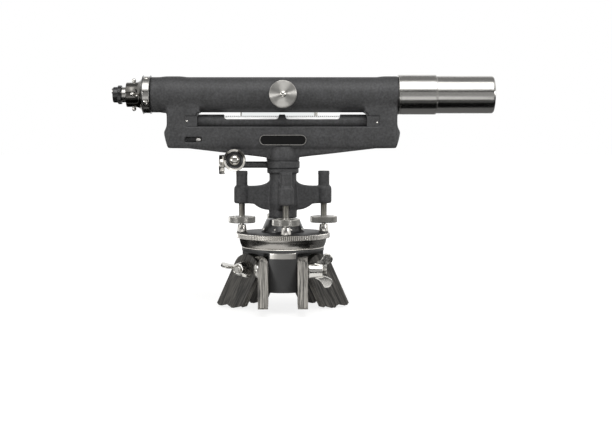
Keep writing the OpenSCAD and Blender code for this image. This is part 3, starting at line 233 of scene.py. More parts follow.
def edit(action=None, mode=None):
    """Enters edit mode for points, edges or faces, and selects all or nothing if asked."""
    bpy.ops.object.mode_set(mode="EDIT")
    if mode:
        bpy.ops.mesh.select_mode(type=mode)
    if action:
        bpy.ops.mesh.select_all(action=action)


def done(action=None):
    """Leaves edit mode, with all or nothing selected if asked."""
    if action:
        bpy.ops.mesh.select_all(action=action)
    bpy.ops.object.mode_set(mode="OBJECT")


def worked(obj, kind, **settings):
    """Adds a modifier with its settings, and applies it."""
    alone(obj)
    tool = obj.modifiers.new(kind.lower(), kind)
    for name, value in settings.items():
        setattr(tool, name, value)
    bpy.ops.object.modifier_apply(modifier=tool.name)


def casting_of(node, body, name, coat, grid, softening, thin=None):
    """The CAD solid taken as a casting: a merged copy, its edges softened by a fine remesh."""
    made = bpy.data.objects.new(name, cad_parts[node].data.copy())
    bpy.context.scene.collection.objects.link(made)
    made.data.materials.clear()
    alone(made)
    edit("SELECT")
    bpy.ops.mesh.remove_doubles(threshold=1e-6)
    done()
    if made.data.attributes.get("custom_normal"):
        bpy.ops.mesh.customdata_custom_splitnormals_clear()
    worked(made, "REMESH", mode="VOXEL", voxel_size=grid / 1000, use_smooth_shade=True)
    worked(made, "SMOOTH", factor=0.5, iterations=softening)
    if thin:
        worked(made, "DECIMATE", ratio=thin)
    bpy.ops.object.shade_smooth()
    made.data.materials.append(coat)
    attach(made, body)
    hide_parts(node)
    return made


def lacquered(name, colour, rough, grain_mm, grain_depth, mottle=0.06, coat=0.0):
    """Sprayed lacquer: soft mottled sheen, and a grain that is the casting sand's. The real grain
    is under 0.5 mm; on the big castings it is drawn coarser, so that it shows."""
    made, tree, skin, place = finish(name, **{"Roughness": rough, "Coat Weight": coat,
                                              "Coat Roughness": 0.25})
    grain = add(tree, "TexNoise", {"Vector": place, "Scale": 1000 / grain_mm,
                                   "Detail": 3.0, "Roughness": 0.6})
    cloud = add(tree, "TexNoise", {"Vector": place, "Scale": 1000 / MOTTLE_MM, "Detail": 2.0})
    tone = add(tree, "ValToRGB", {"Fac": cloud.outputs["Fac"]})
    for stop, way in zip(tone.color_ramp.elements, (1 - mottle, 1 + mottle)):
        stop.color = [c * way * way for c in linear(colour)[:3]] + [1.0]
    speck = add(tree, "MapRange", {"Value": grain.outputs["Fac"], "From Min": 0.3,
                                   "From Max": 0.7, "To Min": 1 - 2.5 * mottle,
                                   "To Max": 1 + 2.5 * mottle})
    shade = add(tree, "VectorMath", {0: tone.outputs["Color"],
                                     "Scale": speck.outputs[0]}, operation="SCALE")
    tree.links.new(shade.outputs[0], skin.inputs["Base Color"])
    relief = add(tree, "Bump", {"Height": grain.outputs["Fac"], "Strength": 0.35,
                                "Distance": grain_depth / 1000})
    tree.links.new(relief.outputs[0], skin.inputs["Normal"])
    return made


def turned_metal(name, colour, rough, axis, pitch_mm=0.35, depth_mm=0.004, along=0.5,
                 centre=(0, 0, 0)):
    """Metal finished on the lathe: rings of tool marks round the axis draw the lights out across
    them. Real marks are about 0.1 mm apart; they are drawn at 0.3 to 0.6 mm, so that they show."""
    made, tree, skin, place = finish(name, **{"Base Color": linear(colour), "Metallic": 1.0,
                                              "Anisotropic": along})
    shift = add(tree, "Mapping", {"Vector": place, "Location": [-c / 1000 for c in centre]})
    apart = add(tree, "SeparateXYZ", {0: shift.outputs[0]})
    names = [n for n in "XYZ" if n != axis]
    off = [add(tree, "Math", {0: apart.outputs[n], 1: 2.0}, operation="POWER")
           for n in names]
    round_ = add(tree, "Math", {0: off[0].outputs[0], 1: off[1].outputs[0]})
    radius = add(tree, "Math", {0: round_.outputs[0]}, operation="SQRT")
    far = add(tree, "CombineXYZ", {"X": apart.outputs[axis], "Y": radius.outputs[0]})
    marks = add(tree, "TexNoise", {"Vector": far.outputs[0], "Scale": 1000 / pitch_mm,
                                   "Detail": 3.0, "Roughness": 0.7})
    dull = add(tree, "TexNoise", {"Vector": place, "Scale": 1000 / WEAR_MM, "Detail": 3.0})
    mixed = add(tree, "Math", {0: marks.outputs["Fac"], 1: 0.1}, operation="MULTIPLY")
    worn = add(tree, "Math", {0: dull.outputs["Fac"], 1: 0.16, 2: rough - 0.13},
               operation="MULTIPLY_ADD")
    total = add(tree, "Math", {0: mixed.outputs[0], 1: worn.outputs[0]})
    tree.links.new(total.outputs[0], skin.inputs["Roughness"])
    relief = add(tree, "Bump", {"Height": marks.outputs["Fac"], "Strength": 0.15,
                                "Distance": depth_mm / 1000})
    tree.links.new(relief.outputs[0], skin.inputs["Normal"])
    return made


head_paint = lacquered("lacquered bronze casting", HEAD_LACQUER, 0.42, 0.9, 0.12)
head_bare = turned_metal("turned bare bronze", HEAD_BARE, 0.34, "Z")
tripod_head = casting_of("tripod_head", "tripod", "tripod_head_casting", head_paint,
                         0.8, 3)
tripod_head.data.materials.append(head_bare)
for face in tripod_head.data.polygons:
    spot = face.center * 1000
    for lug_deg in (0, 120, 240):
        turn = math.radians(-lug_deg)
        side = spot.x * math.cos(turn) - spot.y * math.sin(turn)
        out = -(spot.x * math.sin(turn) + spot.y * math.cos(turn))
        if BAND_LOW < spot.z < BAND_HIGH and out > LUG_FROM and abs(side) < LUG_HALF:
            face.material_index = 1

# Leg bolts. Three steel bolts with round heads, nickelled, each through a lug and two cheeks.
# The thread shows past the wing nut.
BOLT_NICKEL = "#bdbbb6"
BOLT_R = 34.0
BOLT_Z = -24.0


def settle():
    """Applies place, turn and scale, so that the mesh itself holds them."""
    bpy.ops.object.transform_apply(location=True, rotation=True, scale=True)


def closed_up():
    """Merges doubled points, turns the faces outwards and leaves edit mode."""
    bpy.ops.mesh.select_all(action="SELECT")
    bpy.ops.mesh.remove_doubles(threshold=2e-6)
    bpy.ops.mesh.normals_make_consistent(inside=False)
    done()


def placed(made, axis, at, crease):
    """Turns a piece made round Z to its axis, moves it to its place and smooths it, in mm."""
    made.rotation_euler = {"X": (0, math.pi / 2, 0), "Y": (-math.pi / 2, 0, 0),
                           "Z": (0, 0, 0)}[axis]
    made.location = [c / 1000 for c in at]
    settle()
    bpy.ops.object.shade_smooth_by_angle(angle=math.radians(crease))
    return made


def turned(name, profile, axis="Z", at=(0, 0, 0), steps=96, crease=32):
    """A lathe piece: profile points are (radius, place along the axis) in mm, spun round it."""
    bare()
    bpy.ops.mesh.primitive_plane_add(size=0.001)
    made = bpy.context.object
    made.name = made.data.name = name
    edit("SELECT", "VERT")
    bpy.ops.mesh.merge(type="CENTER")
    points = [Vector((r / 1000, 0, z / 1000)) for r, z in profile]
    bpy.ops.transform.translate(value=points[0])
    for here, there in zip(points, points[1:]):
        bpy.ops.mesh.extrude_region_move(TRANSFORM_OT_translate={"value": there - here})
    bpy.ops.mesh.select_all(action="SELECT")
    bpy.ops.mesh.spin(steps=steps, angle=2 * math.pi, center=(0, 0, 0), axis=(0, 0, 1))
    closed_up()
    return placed(made, axis, at, crease)


def joined(name, *objs):
    """Several meshes made one piece."""
    bare()
    for o in objs:
        o.select_set(True)
    bpy.context.view_layer.objects.active = objs[0]
    bpy.ops.object.join()
    objs[0].name = objs[0].data.name = name
    return objs[0]


def again(obj, name, turn_deg=0, move=(0, 0, 0), axis="Z", centre=(0, 0, 0)):
    """A copy with its own mesh, turned about an axis through a centre and moved, in mm."""
    made = obj.copy()
    made.data = obj.data.copy()
    made.name = made.data.name = name
    bpy.context.scene.collection.objects.link(made)
    mid = Vector([c / 1000 for c in centre])
    made.matrix_world = (Matrix.Translation(mid + Vector([c / 1000 for c in move]))
                         @ Matrix.Rotation(math.radians(turn_deg), 4, axis)
                         @ Matrix.Translation(-mid))
    alone(made)
    settle()
    return made


def ring_of(name, piece, count, first_deg=0, axis="Z", centre=(0, 0, 0)):
    """Copies of a piece set evenly round an axis and joined. The piece itself is used up."""
    made = joined(name, *[again(piece, f"{name}_{i}", first_deg + 360 / count * i, axis=axis,
                                centre=centre) for i in range(count)])
    bpy.data.objects.remove(piece)
    return made


def hand_over(obj, coat, body, slot, *nodes):
    """The piece gets its finish, rides on its body and stands for its CAD nodes."""
    if coat:
        obj.data.materials.append(coat)
    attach(obj, body)
    if nodes:
        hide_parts(*nodes)


bolt_steel = turned_metal("nickelled steel bolt", BOLT_NICKEL, 0.3, "Z", 0.5)
thread = []
for i in range(5):
    thread += [(3.6, 46.4 + 0.9 * i), (3.95, 46.8 + 0.9 * i)]
bolt = turned("bolt", [(0, -34.05), (2.4, -33.9), (4.9, -33.3), (7.0, -32.2), (8.1, -30.9),
                       (8.4, -30.1), (9.0, -29.95), (9.0, -28.5), (3.97, -28.45), (3.97, 45.9)]
              + thread + [(3.6, 48.9), (0, 48.9)], "X", (0, -BOLT_R, BOLT_Z))
hand_over(ring_of("leg_bolt_set", bolt, 3), bolt_steel, "tripod", "nickel", "leg_bolts")

# Legs. Each leg is two oiled ash cheeks, round over the bolt: pale along the edges and dark on the
# broad faces, a painted light and shade. They are cut off short, with ragged ends.
# Pale tones for the edges and dark tones for the broad faces: painted light and shade.
LIT_EDGE_TONES = ("#3c3a37", "#c2beb6")
SHADED_FACE_TONES = ("#2c2b29", "#6e6b66")
CHEEK_T = 11.5
CHEEK_W = 33.0
SPLAY = 27.0
CHEEK_IN = 16.8
NOTCH_H = 3.4
FLAT_TO = 4
NOTCHES = (0.5, 1, 0.35, 0, 0, 0.6, 0.95, 0.4, 0, 0, 0.7)
TOP_STEPS = 18
FOOT_CUTS = 39
RING_MM = 2.381
PORE_MM = 0.7143
LEG_ENDS = (("front", 40, 0), ("right", 49, 2.4), ("left", 49, 2.4))


def oiled_ash(name, turn_deg, tones):
    """Oiled ash: growth rings cut along, in wavy streaks a few mm apart, with fine dark pores."""
    made, tree, skin, place = finish(name, **{"Roughness": 0.62})
    flat = add(tree, "VectorRotate", {"Vector": place, "Axis": (0, 0, 1),
                                      "Angle": math.radians(-turn_deg)},
               rotation_type="AXIS_ANGLE")
    upright = add(tree, "VectorRotate", {"Vector": flat.outputs[0], "Axis": (1, 0, 0),
                                         "Angle": math.radians(SPLAY)}, rotation_type="AXIS_ANGLE")
    drawn = add(tree, "Mapping", {"Vector": upright.outputs[0], "Scale": (1.0, 1.0, 0.055)})
    rings = add(tree, "TexNoise", {"Vector": drawn.outputs[0], "Scale": 1000 / RING_MM,
                                   "Detail": 4.0, "Roughness": 0.6, "Distortion": 0.5})
    pores = add(tree, "TexNoise", {"Vector": drawn.outputs[0], "Scale": 1000 / PORE_MM,
                                   "Detail": 2.0})
    ramp = add(tree, "ValToRGB", {"Fac": rings.outputs["Fac"]})
    for stop, at, colour in zip(ramp.color_ramp.elements, (0.38, 0.68), tones):
        stop.position, stop.color = at, linear(colour)
    dark = add(tree, "MapRange", {"Value": pores.outputs["Fac"], "From Min": 0.32,
                                  "From Max": 0.5, "To Min": 0.45, "To Max": 1.0})
    tone = add(tree, "VectorMath", {0: ramp.outputs["Color"]}, operation="SCALE")
    tree.links.new(dark.outputs[0], tone.inputs["Scale"])
    tree.links.new(tone.outputs[0], skin.inputs["Base Color"])
    relief = add(tree, "Bump", {"Height": rings.outputs["Fac"], "Strength": 0.3,
                                "Distance": 0.0004})
    tree.links.new(relief.outputs[0], skin.inputs["Normal"])
    return made


def cheek(side, drop, rise, seed):
    """One cheek in the front leg's place: a board, round at the top and torn off at the foot,
    drop mm below the bolt. The torn end rises by rise mm towards the outside."""
    bare()
    bpy.ops.mesh.primitive_cube_add(size=1)
    made = bpy.context.object
    mesh = made.data
    sin, cos = math.sin(math.radians(SPLAY)), math.cos(math.radians(SPLAY))
    for v in mesh.vertices:
        across = CHEEK_W * v.co.y
        if v.co.z > 0:
            out, high = across * cos + CHEEK_W / 2 * -sin, across * sin + CHEEK_W / 2 * cos
        else:
            down = (across * sin + drop) / cos
            out, high = down * sin + across * cos, -drop
        mid = side * (CHEEK_IN + CHEEK_T / 2) + CHEEK_T * v.co.x
        v.co = (mid / 1000, -(BOLT_R + out) / 1000, (BOLT_Z + high) / 1000)
    edit("SELECT")
    bpy.ops.mesh.normals_make_consistent(inside=False)
    done("DESELECT")
    ends = [v.index for v in mesh.vertices if v.co.z * 1000 > BOLT_Z]
    for e in mesh.edges:
        a, b = (mesh.vertices[i].co for i in e.vertices)
        e.select = e.vertices[0] in ends and e.vertices[1] in ends and abs(a.x - b.x) > 0.005
    edit(mode="EDGE")
    bpy.ops.mesh.bevel(offset=(CHEEK_W / 2 - 0.05) / 1000, offset_type="OFFSET",
                       segments=TOP_STEPS)
    done("DESELECT")
    foot = (BOLT_Z - drop) / 1000
    for e in mesh.edges:
        a, b = (mesh.vertices[i].co for i in e.vertices)
        e.select = a.z < foot + 1e-5 and b.z < foot + 1e-5 and abs(a.x - b.x) < 1e-5
    edit()
    bpy.ops.mesh.subdivide(number_cuts=FOOT_CUTS)
    done("DESELECT")
    for v in mesh.vertices:
        if v.co.z > foot + 1e-5:
            continue
        part = (-v.co.y * 1000 - BOLT_R - drop * sin / cos) * cos / CHEEK_W + 0.5
        part = min(max(part, 0), 1) * (len(NOTCHES) - 1)
        i = min(int(part), len(NOTCHES) - 2)
        notch = NOTCHES[i] + (NOTCHES[i + 1] - NOTCHES[i]) * (part - i)
        slope = rise * max(0, part - FLAT_TO) / (len(NOTCHES) - 1 - FLAT_TO)
        torn = noise.noise(Vector((v.co.x * 300, part * 2.1, seed)))
        fine = noise.noise(Vector((v.co.x * 500, part * 5.3, seed + 7)))
        up = (NOTCH_H * notch * 0.85 + slope) / cos + 1.0 * abs(torn) + 0.8 * abs(fine)
        v.co += Vector((0, sin, cos)) * up / 1000
    bpy.ops.object.shade_smooth_by_angle(angle=math.radians(35))
    return made


painted_lit_edge_wood = [oiled_ash(f"ash edge painted lit {deg}", deg, LIT_EDGE_TONES) for deg in (0, 120, 240)]
painted_shaded_face_wood = [oiled_ash(f"ash face painted shaded {deg}", deg, SHADED_FACE_TONES) for deg in (0, 120, 240)]
for i, (leg, drop, rise) in enumerate(LEG_ENDS):
    pair = []
    for k, side in enumerate((-1, 1)):
        made = cheek(side, drop, rise, 3.0 + 8 * k + 5 * i)
        made.data.materials.append(painted_lit_edge_wood[i])
        made.data.materials.append(painted_shaded_face_wood[i])
        # Painted light and shade: pale wood on the edges, dark wood on the broad faces.
        for face in made.data.polygons:
            face.material_index = 1 if abs(face.normal.x) > 0.8 else 0
        pair.append(again(made, f"cheek_{leg}_{k}", 120 * i))
        bpy.data.objects.remove(made)
    hand_over(joined(f"leg_cheeks_{leg}", *pair), None, f"leg_{leg}", "wood", f"leg_{leg}")

# Wing nuts. Cast brass, tumbled smooth and nickelled, one on each leg bolt.
WING_NICKEL = "#d6d4cf"


def worn_nickel(name, colour, rough, scale_mm=4.0):
    """Nickel plate on cast or filed metal: soft dents in the gloss, duller where handled."""
    made, tree, skin, place = finish(name, **{"Base Color": linear(colour), "Metallic": 1.0})
    dull = add(tree, "TexNoise", {"Vector": place, "Scale": 1000 / scale_mm,
                                  "Detail": 4.0, "Roughness": 0.6})
    worn = add(tree, "MapRange", {"Value": dull.outputs["Fac"], "From Min": 0.3,
                                  "From Max": 0.7, "To Min": rough - 0.07, "To Max": rough + 0.1})
    tree.links.new(worn.outputs[0], skin.inputs["Roughness"])
    relief = add(tree, "Bump", {"Height": dull.outputs["Fac"], "Strength": 0.3,
                                "Distance": 0.00012})
    tree.links.new(relief.outputs[0], skin.inputs["Normal"])
    return made


wing_metal = worn_nickel("nickelled cast brass", WING_NICKEL, 0.22)
for leg in ("front", "right", "left"):
    casting_of(f"wing_nut_{leg}", f"wing_{leg}", f"wing_nut_{leg}_cast", wing_metal,
               0.42, 5)

# Foot plate. Turned from a bronze casting: a lacquered top, a bare milled rim to grip it by, the
# bottoms of its milling painted dark as shade, and a skirt left as bronzed metal, with a brighter
# bead at its foot. It screws on the tripod head.
PLATE_LACQUER = "#393939"
RIM_METAL = "#d8d5cf"
SKIRT_METAL = "#a5a29d"
GROOVE_SHADE_DARK = "#1c1b1a"
RIM_R = 55.35
RIM_LOW = 12.05
RIM_HIGH = 17.45
RIM_DEPTH = 0.85
SKIRT_R = 44.7
SKIRT_TOP = 12.0
BEAD_TOP = 1.45


def milled(name, radius, depth, teeth, low, high, chamfer=0.3, axis="Z", at=(0, 0, 0), dish=0.0,
           rim=2.5):
    """A milled ring or disc: a ring of teeth, drawn out along the axis, capped and dished."""
    bare()
    bpy.ops.mesh.primitive_circle_add(vertices=teeth * 4, radius=radius / 1000)
    made = bpy.context.object
    made.name = made.data.name = name
    for i, v in enumerate(made.data.vertices):
        if i % 4 in (0, 1):
            v.co *= (radius - depth) / radius
    small = 1 - chamfer / radius
    edit("SELECT", "VERT")
    bpy.ops.transform.translate(value=(0, 0, low / 1000))
    bpy.ops.transform.resize(value=(small, small, 1))
    for rise, wide in ((chamfer, 1 / small), (high - low - 2 * chamfer, 1), (chamfer, small),
                       (0, 1 - rim / radius), (-dish, 1 - dish / radius)):
        bpy.ops.mesh.extrude_region_move(TRANSFORM_OT_translate={"value": (0, 0, rise / 1000)})
        bpy.ops.transform.resize(value=(wide, wide, 1))
    bpy.ops.mesh.edge_face_add()
    bpy.ops.mesh.select_all(action="DESELECT")
    bpy.ops.mesh.select_non_manifold()
    bpy.ops.mesh.edge_face_add()
    closed_up()
    return placed(made, axis, at, 25)


# Painted shade: a dark colour laid in the bottoms of the milling.
groove_painted_shade = lacquered("painted shade in milling", GROOVE_SHADE_DARK, 0.7, 0.5, 0.05)


def shade_grooves(obj, centre_x, radius, depth):
    """The bottoms of the milling are coloured dark, a painted shade."""
    obj.data.materials.append(groove_painted_shade)
    for face in obj.data.polygons:
        out = math.hypot(face.center.x * 1000 - centre_x, face.center.y * 1000)
        if abs(face.normal.z) < 0.5 and radius - 1.4 * depth < out < radius - 0.75 * depth:
            face.material_index = 1


plate_paint = lacquered("lacquered turned bronze", PLATE_LACQUER, 0.5, 1.1, 0.12, 0.13)
rim_metal = turned_metal("bare milled bronze", RIM_METAL, 0.26, "Z", 0.6)
plate = turned("foot_plate_turning", [
    (13, 10.2), (13, 18.0), (13.2, 18.2), (52.7, 18.2), (53.8, 17.6), (53.9, 12.6), (53.2, 12.1),
    (51.6, 11.9), (51.2, 11.2), (51.2, 9.0), (50.4, 5.6), (49.0, 2.2), (48.4, 1.5),
    (48.75, 1.25), (48.95, 0.8), (48.75, 0.35), (48.2, 0.15), (44.6, 0.15), (44.6, 10.2),
    (13, 10.2)], steps=192)
plate.data.materials.append(plate_paint)
plate.data.materials.append(rim_metal)
plate.data.materials.append(turned_metal("bronzed skirt", SKIRT_METAL, 0.26, "Z", 0.6))
for face in plate.data.polygons:
    spot = face.center * 1000
    if spot.z < SKIRT_TOP and math.hypot(spot.x, spot.y) > SKIRT_R:
        face.material_index = 1 if spot.z < BEAD_TOP else 2
rim = milled("foot_plate_rim", RIM_R, RIM_DEPTH, 146, RIM_LOW, RIM_HIGH, 0.35)
rim.data.materials.append(rim_metal)
# Painted shade in the bottoms of the rim's milling.
shade_grooves(rim, 0, RIM_R, RIM_DEPTH)
hand_over(plate, None, "tripod", "bronze", "foot_plate")
hand_over(rim, None, "tripod", "bronze")

# Ball cover. A black japanned cap, turned to a cone, that holds the ball down. Eight
# round-headed screws go through its foot into the plate.
COVER_BLACK = "#1b1b1c"
SCREW_BRIGHT = "#d8d5cf"
CONE_DEG = 65
cover_paint = lacquered("black japanned cap", COVER_BLACK, 0.28, 0.6, 0.04, 0.1, 0.4)
cover = turned("ball_cover_cap", [
    (15.05, 18.25), (25.1, 18.25), (25.45, 18.5), (25.45, 20.3), (25.1, 20.8), (19.7, 33.0),
    (19.1, 33.45), (13.6, 33.45), (13.05, 33.1), (13.05, 31.5), (14.2, 28.8), (14.9, 26.0),
    (15.05, 24.0), (15.05, 18.25)], steps=128)
hand_over(cover, cover_paint, "tripod", "lacquer", "ball_cover")
screw_metal = worn_nickel("bright screw", SCREW_BRIGHT, 0.16, 2.0)
head = turned("cover_screw", [(0, 1.15), (0.7, 1.05), (1.25, 0.7), (1.55, 0.15), (1.6, -0.4),
                              (0, -0.4)], steps=24)
tipped = again(head, "cover_screw_tipped", CONE_DEG, (24.3, 0, 21.9), "Y")
bpy.data.objects.remove(head)
hand_over(ring_of("ball_cover_screws", tipped, 8, 22.5), screw_metal, "tripod", "nickel")

# Screw shoes and ball feet. Bright turned shoes fixed on the plate, and in them the steel balls
# that the levelling screws stand on.
SHOE_NICKEL = "#d3d0ca"
BALL_STEEL = "#b5b3ae"
SCREW_R = 48.4
HEAD_TURN = 4.0
shoe_metal = turned_metal("bright turned shoe", SHOE_NICKEL, 0.2, "Z", 0.5, 0.002, 0.2)
shoe = turned("shoe", [
    (0, 18.25), (5.9, 18.25), (5.95, 18.6), (5.95, 19.3), (5.75, 19.6), (4.85, 26.9),
    (4.5, 27.25), (3.9, 27.25), (3.55, 27.0), (3.5, 24.0), (3.2, 22.6), (2.2, 21.3), (0, 20.5)],
    at=(SCREW_R, 0, 0), steps=64)
hand_over(ring_of("screw_shoe_set", shoe, 4, HEAD_TURN), shoe_metal, "tripod", "nickel",
          "screw_shoes")


def recoat(coat, *nodes):
    """CAD nodes whose own shape stays get their real finish."""
    for node in nodes:
        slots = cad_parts[node].data.materials
        slots.clear()
        slots.append(coat)


ball_steel = worn_nickel("polished steel ball", BALL_STEEL, 0.14, 3.0)
recoat(ball_steel, "ball_foot_1", "ball_foot_2", "ball_foot_3", "ball_foot_4")

# Half ball and levelling head. The four-armed head is a bronze casting in the instrument's dark
# satin lacquer, sprayed over a fine sand grain, with a cap sleeve on each post. The half ball
# inside the ball cover is bare brass.
FRAME_LACQUER = "#3b3b3c"
BRASS = "#b89a5c"
casting_paint = lacquered("instrument lacquer", FRAME_LACQUER, 0.55, 2.4, 0.15, 0.16)
half_brass = turned_metal("turned brass", BRASS, 0.25, "Z")
recoat(half_brass, "half_ball", "centre_spindle", "spindle_nut", "clamp_shoe")
casting_of("levelling_head", "head", "levelling_head_casting", casting_paint, 0.62, 14)
cap = turned("cap", [(0, 90.45), (6.2, 90.45), (6.6, 90.2), (6.75, 89.8), (6.8, 87.2),
                     (6.95, 87.0), (6.95, 86.4), (6.7, 86.2), (6.0, 86.2), (6.0, 88.1), (0, 88.1)],
             at=(SCREW_R, 0, 0), steps=64)
hand_over(ring_of("post_cap_set", cap, 4, HEAD_TURN), casting_paint, "head", "lacquer",
          "post_caps")

# Levelling screws. Hard bronze, nickelled: a finely milled disc to turn by, and a fine thread
# that runs up inside the post. The nickel is old and grey; the bottoms of the milling are painted
# dark as shade.
SCREW_NICKEL = "#aeaca7"
DISC_R = 15.8
DISC_DEPTH = 0.22
DISC_LOW = 29.3
DISC_HIGH = 36.8
screw_plate = turned_metal("old nickel plate", SCREW_NICKEL, 0.3, "Z", 0.4, 0.004, 0.4)
thread = []
for i in range(46):
    thread += [(3.88, 37.4 + 1.0 * i), (3.42, 37.9 + 1.0 * i)]
spindle = turned("spindle", [(0, 36.0), (3.9, 36.0), (3.9, 37.2)] + thread
                 + [(3.4, 84.3), (0, 84.5)], at=(SCREW_R, 0, 0), steps=40, crease=20)
disc = milled("disc", DISC_R, DISC_DEPTH, 110, DISC_LOW, DISC_HIGH, 0.75,
              at=(SCREW_R, 0, 0), dish=0.6)
spindle.data.materials.append(screw_plate)
disc.data.materials.append(screw_plate)
# Painted shade in the bottoms of the disc's milling.
shade_grooves(disc, SCREW_R, DISC_R, DISC_DEPTH)
screw = joined("screw", spindle, disc)
for i in range(4):
    piece = again(screw, f"levelling_screw_turned_{i + 1}", HEAD_TURN + 90 * i)
    hand_over(piece, None, f"screw_{i + 1}", "nickel", f"levelling_screw_{i + 1}")
bpy.data.objects.remove(screw)

# Clamp. Collar, hollow arm and tongue are one lacquered casting. The clamp screw runs down the
# arm to a brass shoe. Its dished head is nickelled, with the hollow coloured black as painted
# shade.
KNOB_NICKEL = "#c9c6c0"
HOLLOW_SHADE_BLACK = "#161617"
CLAMP_AT = (0, 0, 97.6)
CLAMP_HEAD = (-75.1, 0, 97.6)
BOWL_DEPTH = 3.4
casting_of("clamp_collar", "clamp", "clamp_collar_casting", casting_paint, 0.45, 5)
# Painted shade: black laid in the hollow of the dished heads.
hollow_painted_shade = lacquered("painted shade in hollow", HOLLOW_SHADE_BLACK, 0.3, 0.5, 0.04)


def dished(name, r, thick, axis, at):
    """A hand screw's head: a domed middle, a deep ring round it, and a finely milled edge."""
    bowl = turned(name + "_bowl", [
        (0, 0.5), (r * 0.14, 0.62), (r * 0.28, 1.1), (r * 0.38, 1.9), (r * 0.44, 3.0),
        (r * 0.52, 3.3), (r * 0.64, 3.1), (r * 0.78, 2.1), (r * 0.87, 0.9), (r * 0.915, 0.35),
        (r * 0.945, 0.1), (r * 0.965, 0.15), (r * 0.985, 0.5), (r * 0.985, 3.5), (0, 3.5)],
        axis, at, 96, 40)
    edge = milled(name + "_edge", r * 0.995, 0.3, 90, 3.4, thick - 0.05, 0.45, axis, at)
    return joined(name, bowl, edge)


def paint_hollow_shade(obj, axis, centre, inner, outer):
    """Colours the hollow of a dished head black as painted shade, between two radii in mm."""
    obj.data.materials.append(hollow_painted_shade)
    for face in obj.data.polygons:
        spot = face.center * 1000 - Vector(centre)
        along = spot[axis]
        spot[axis] = 0
        if along < BOWL_DEPTH and inner < spot.length < outer:
            face.material_index = 1


knob_b = dished("clamp_knob", 11.5, 6.6, "X", CLAMP_HEAD)
stem = turned("clamp_stem", [(0, -68.6), (3.1, -68.6), (3.3, -68.3), (3.3, -65.2), (3.0, -64.6),
                             (2.0, -64.4), (2.0, -20.0), (0, -20.0)], "X", CLAMP_AT, 48)
clamp_screw = joined("clamp_screw_turned", knob_b, stem)
clamp_screw.data.materials.append(turned_metal("nickelled clamp screw", KNOB_NICKEL, 0.2, "X",
                                               0.4, 0.002, 0.3, CLAMP_AT))
paint_hollow_shade(clamp_screw, 0, CLAMP_HEAD, 4.9, 9.3)
hand_over(clamp_screw, None, "clamp_screw", "nickel", "clamp_screw")

# Tangent screw. The slow-motion screw turns in a lacquered bracket under the bar and pushes the
# clamp's tongue against a spring in the nickelled box opposite.
TANGENT_AT = (-55.5, 0, 103.5)
TANGENT_HEAD = (-55.5, -40.1, 103.5)
casting_of("tangent_bracket", "alidade", "tangent_bracket_casting", casting_paint,
           0.4, 4)
knob_a = dished("tangent_knob", 13.0, 6.6, "Y", TANGENT_HEAD)
thread = []
for i in range(24):
    thread += [(3.15, -33.0 + 1.0 * i), (2.75, -32.5 + 1.0 * i)]
stem = turned("tangent_stem", [(0, -33.9), (3.15, -33.9)] + thread
              + [(2.75, -8.6), (2.3, -8.3), (2.3, -11.3), (0, -11.3)], "Y", TANGENT_AT, 48, 20)
tangent_screw = joined("tangent_screw_turned", knob_a, stem)
tangent_metal = turned_metal("nickelled tangent screw", KNOB_NICKEL, 0.18, "Y", 0.4, 0.002, 0.3,
                             TANGENT_AT)
tangent_screw.data.materials.append(tangent_metal)
# The tangent knob's hollow gets the same painted shade.
paint_hollow_shade(tangent_screw, 1, TANGENT_HEAD, 5.5, 10.5)
hand_over(tangent_screw, None, "tangent_screw", "nickel", "tangent_screw")
spring_box = turned("spring_box_turned", [
    (2.65, 8.45), (5.7, 8.45), (5.95, 8.7), (5.95, 33.6), (5.6, 34.6), (4.6, 35.2), (2.2, 35.38),
    (0, 35.38), (0, 33.95), (4.75, 33.85), (4.78, 10.1), (2.65, 10.0), (2.65, 8.45)], "Y",
    TANGENT_AT, 64)
hand_over(spring_box, tangent_metal, "alidade", "nickel", "spring_box")
recoat(ball_steel, "thrust_tip", "spring_plunger", "plunger_spring")

# Frame casting. Barrel, end pillars, level bar and hub are one bronze sand casting, lacquered
# dark grey, with wide fillets where the pillars run into the barrel. The hub's drum is turned.
# A lacquered plate, held by a small bright screw, closes each end of the vial's recess.
AXIS_Z = 179.5
BARREL_R = 19.4
FRAME_DX = -1.0
SLOT_HALF = 100.0
END_HALF = 134.15
FILLET_FROM = 159.4
FILLET_ROUNDS = 160
PILLAR_FILLET_Z = (160.4, 164.5, 169.0, 177.0)
PILLAR_FILLET_X = (SLOT_HALF - 24, SLOT_HALF - 8, END_HALF, END_HALF + 8)
HUB_TOP = 116.0
HUB_SHARE = 0.3
HUB_FILLET_Z = (105.2, 107.5, 111.0, 115.0)
HUB_FILLET_X = (40.0, 60.0)
VIAL_Z = 148.0
END_PLATE_AT = 105.9
END_PLATE_Y = -15.8
END_PLATE_SIZE = (14.8, 2.2, 12.3)
END_PLATE_EDGE = 0.5


def ramp_up(value, low, high):
    """0 below low, 1 above high, and a straight line between."""
    return min(max((value - low) / (high - low), 0.0), 1.0)


def within(value, edges):
    """1 between the two inner edges, 0 outside the outer two, and straight lines between."""
    return ramp_up(value, edges[0], edges[1]) * ramp_up(-value, -edges[3], -edges[2])


def fillet(obj, repeats, share_at):
    """Rounds the inner corners of a casting where share_at(x, y, z), in mm, is over 0."""
    group = obj.vertex_groups.new(name="fillet")
    for v in obj.data.vertices:
        share = share_at(v.co.x * 1000, v.co.y * 1000, v.co.z * 1000)
        if share > 0:
            group.add([v.index], share, "REPLACE")
    worked(obj, "SMOOTH", vertex_group=group.name, factor=0.5, iterations=repeats)
    obj.vertex_groups.clear()


def pillar_share(x, y, z):
    """Where the pillars run into the barrel, and the bar into its hub; other edges stay."""
    along = abs(x - FRAME_DX)
    if z < HUB_TOP:
        wide = ramp_up(-along, -HUB_FILLET_X[1], -HUB_FILLET_X[0])
        return HUB_SHARE * within(z, HUB_FILLET_Z) * wide
    if math.hypot(y, z - AXIS_Z) < BARREL_R or z < FILLET_FROM:
        return 0.0
    return within(along, PILLAR_FILLET_X) * within(z, PILLAR_FILLET_Z)


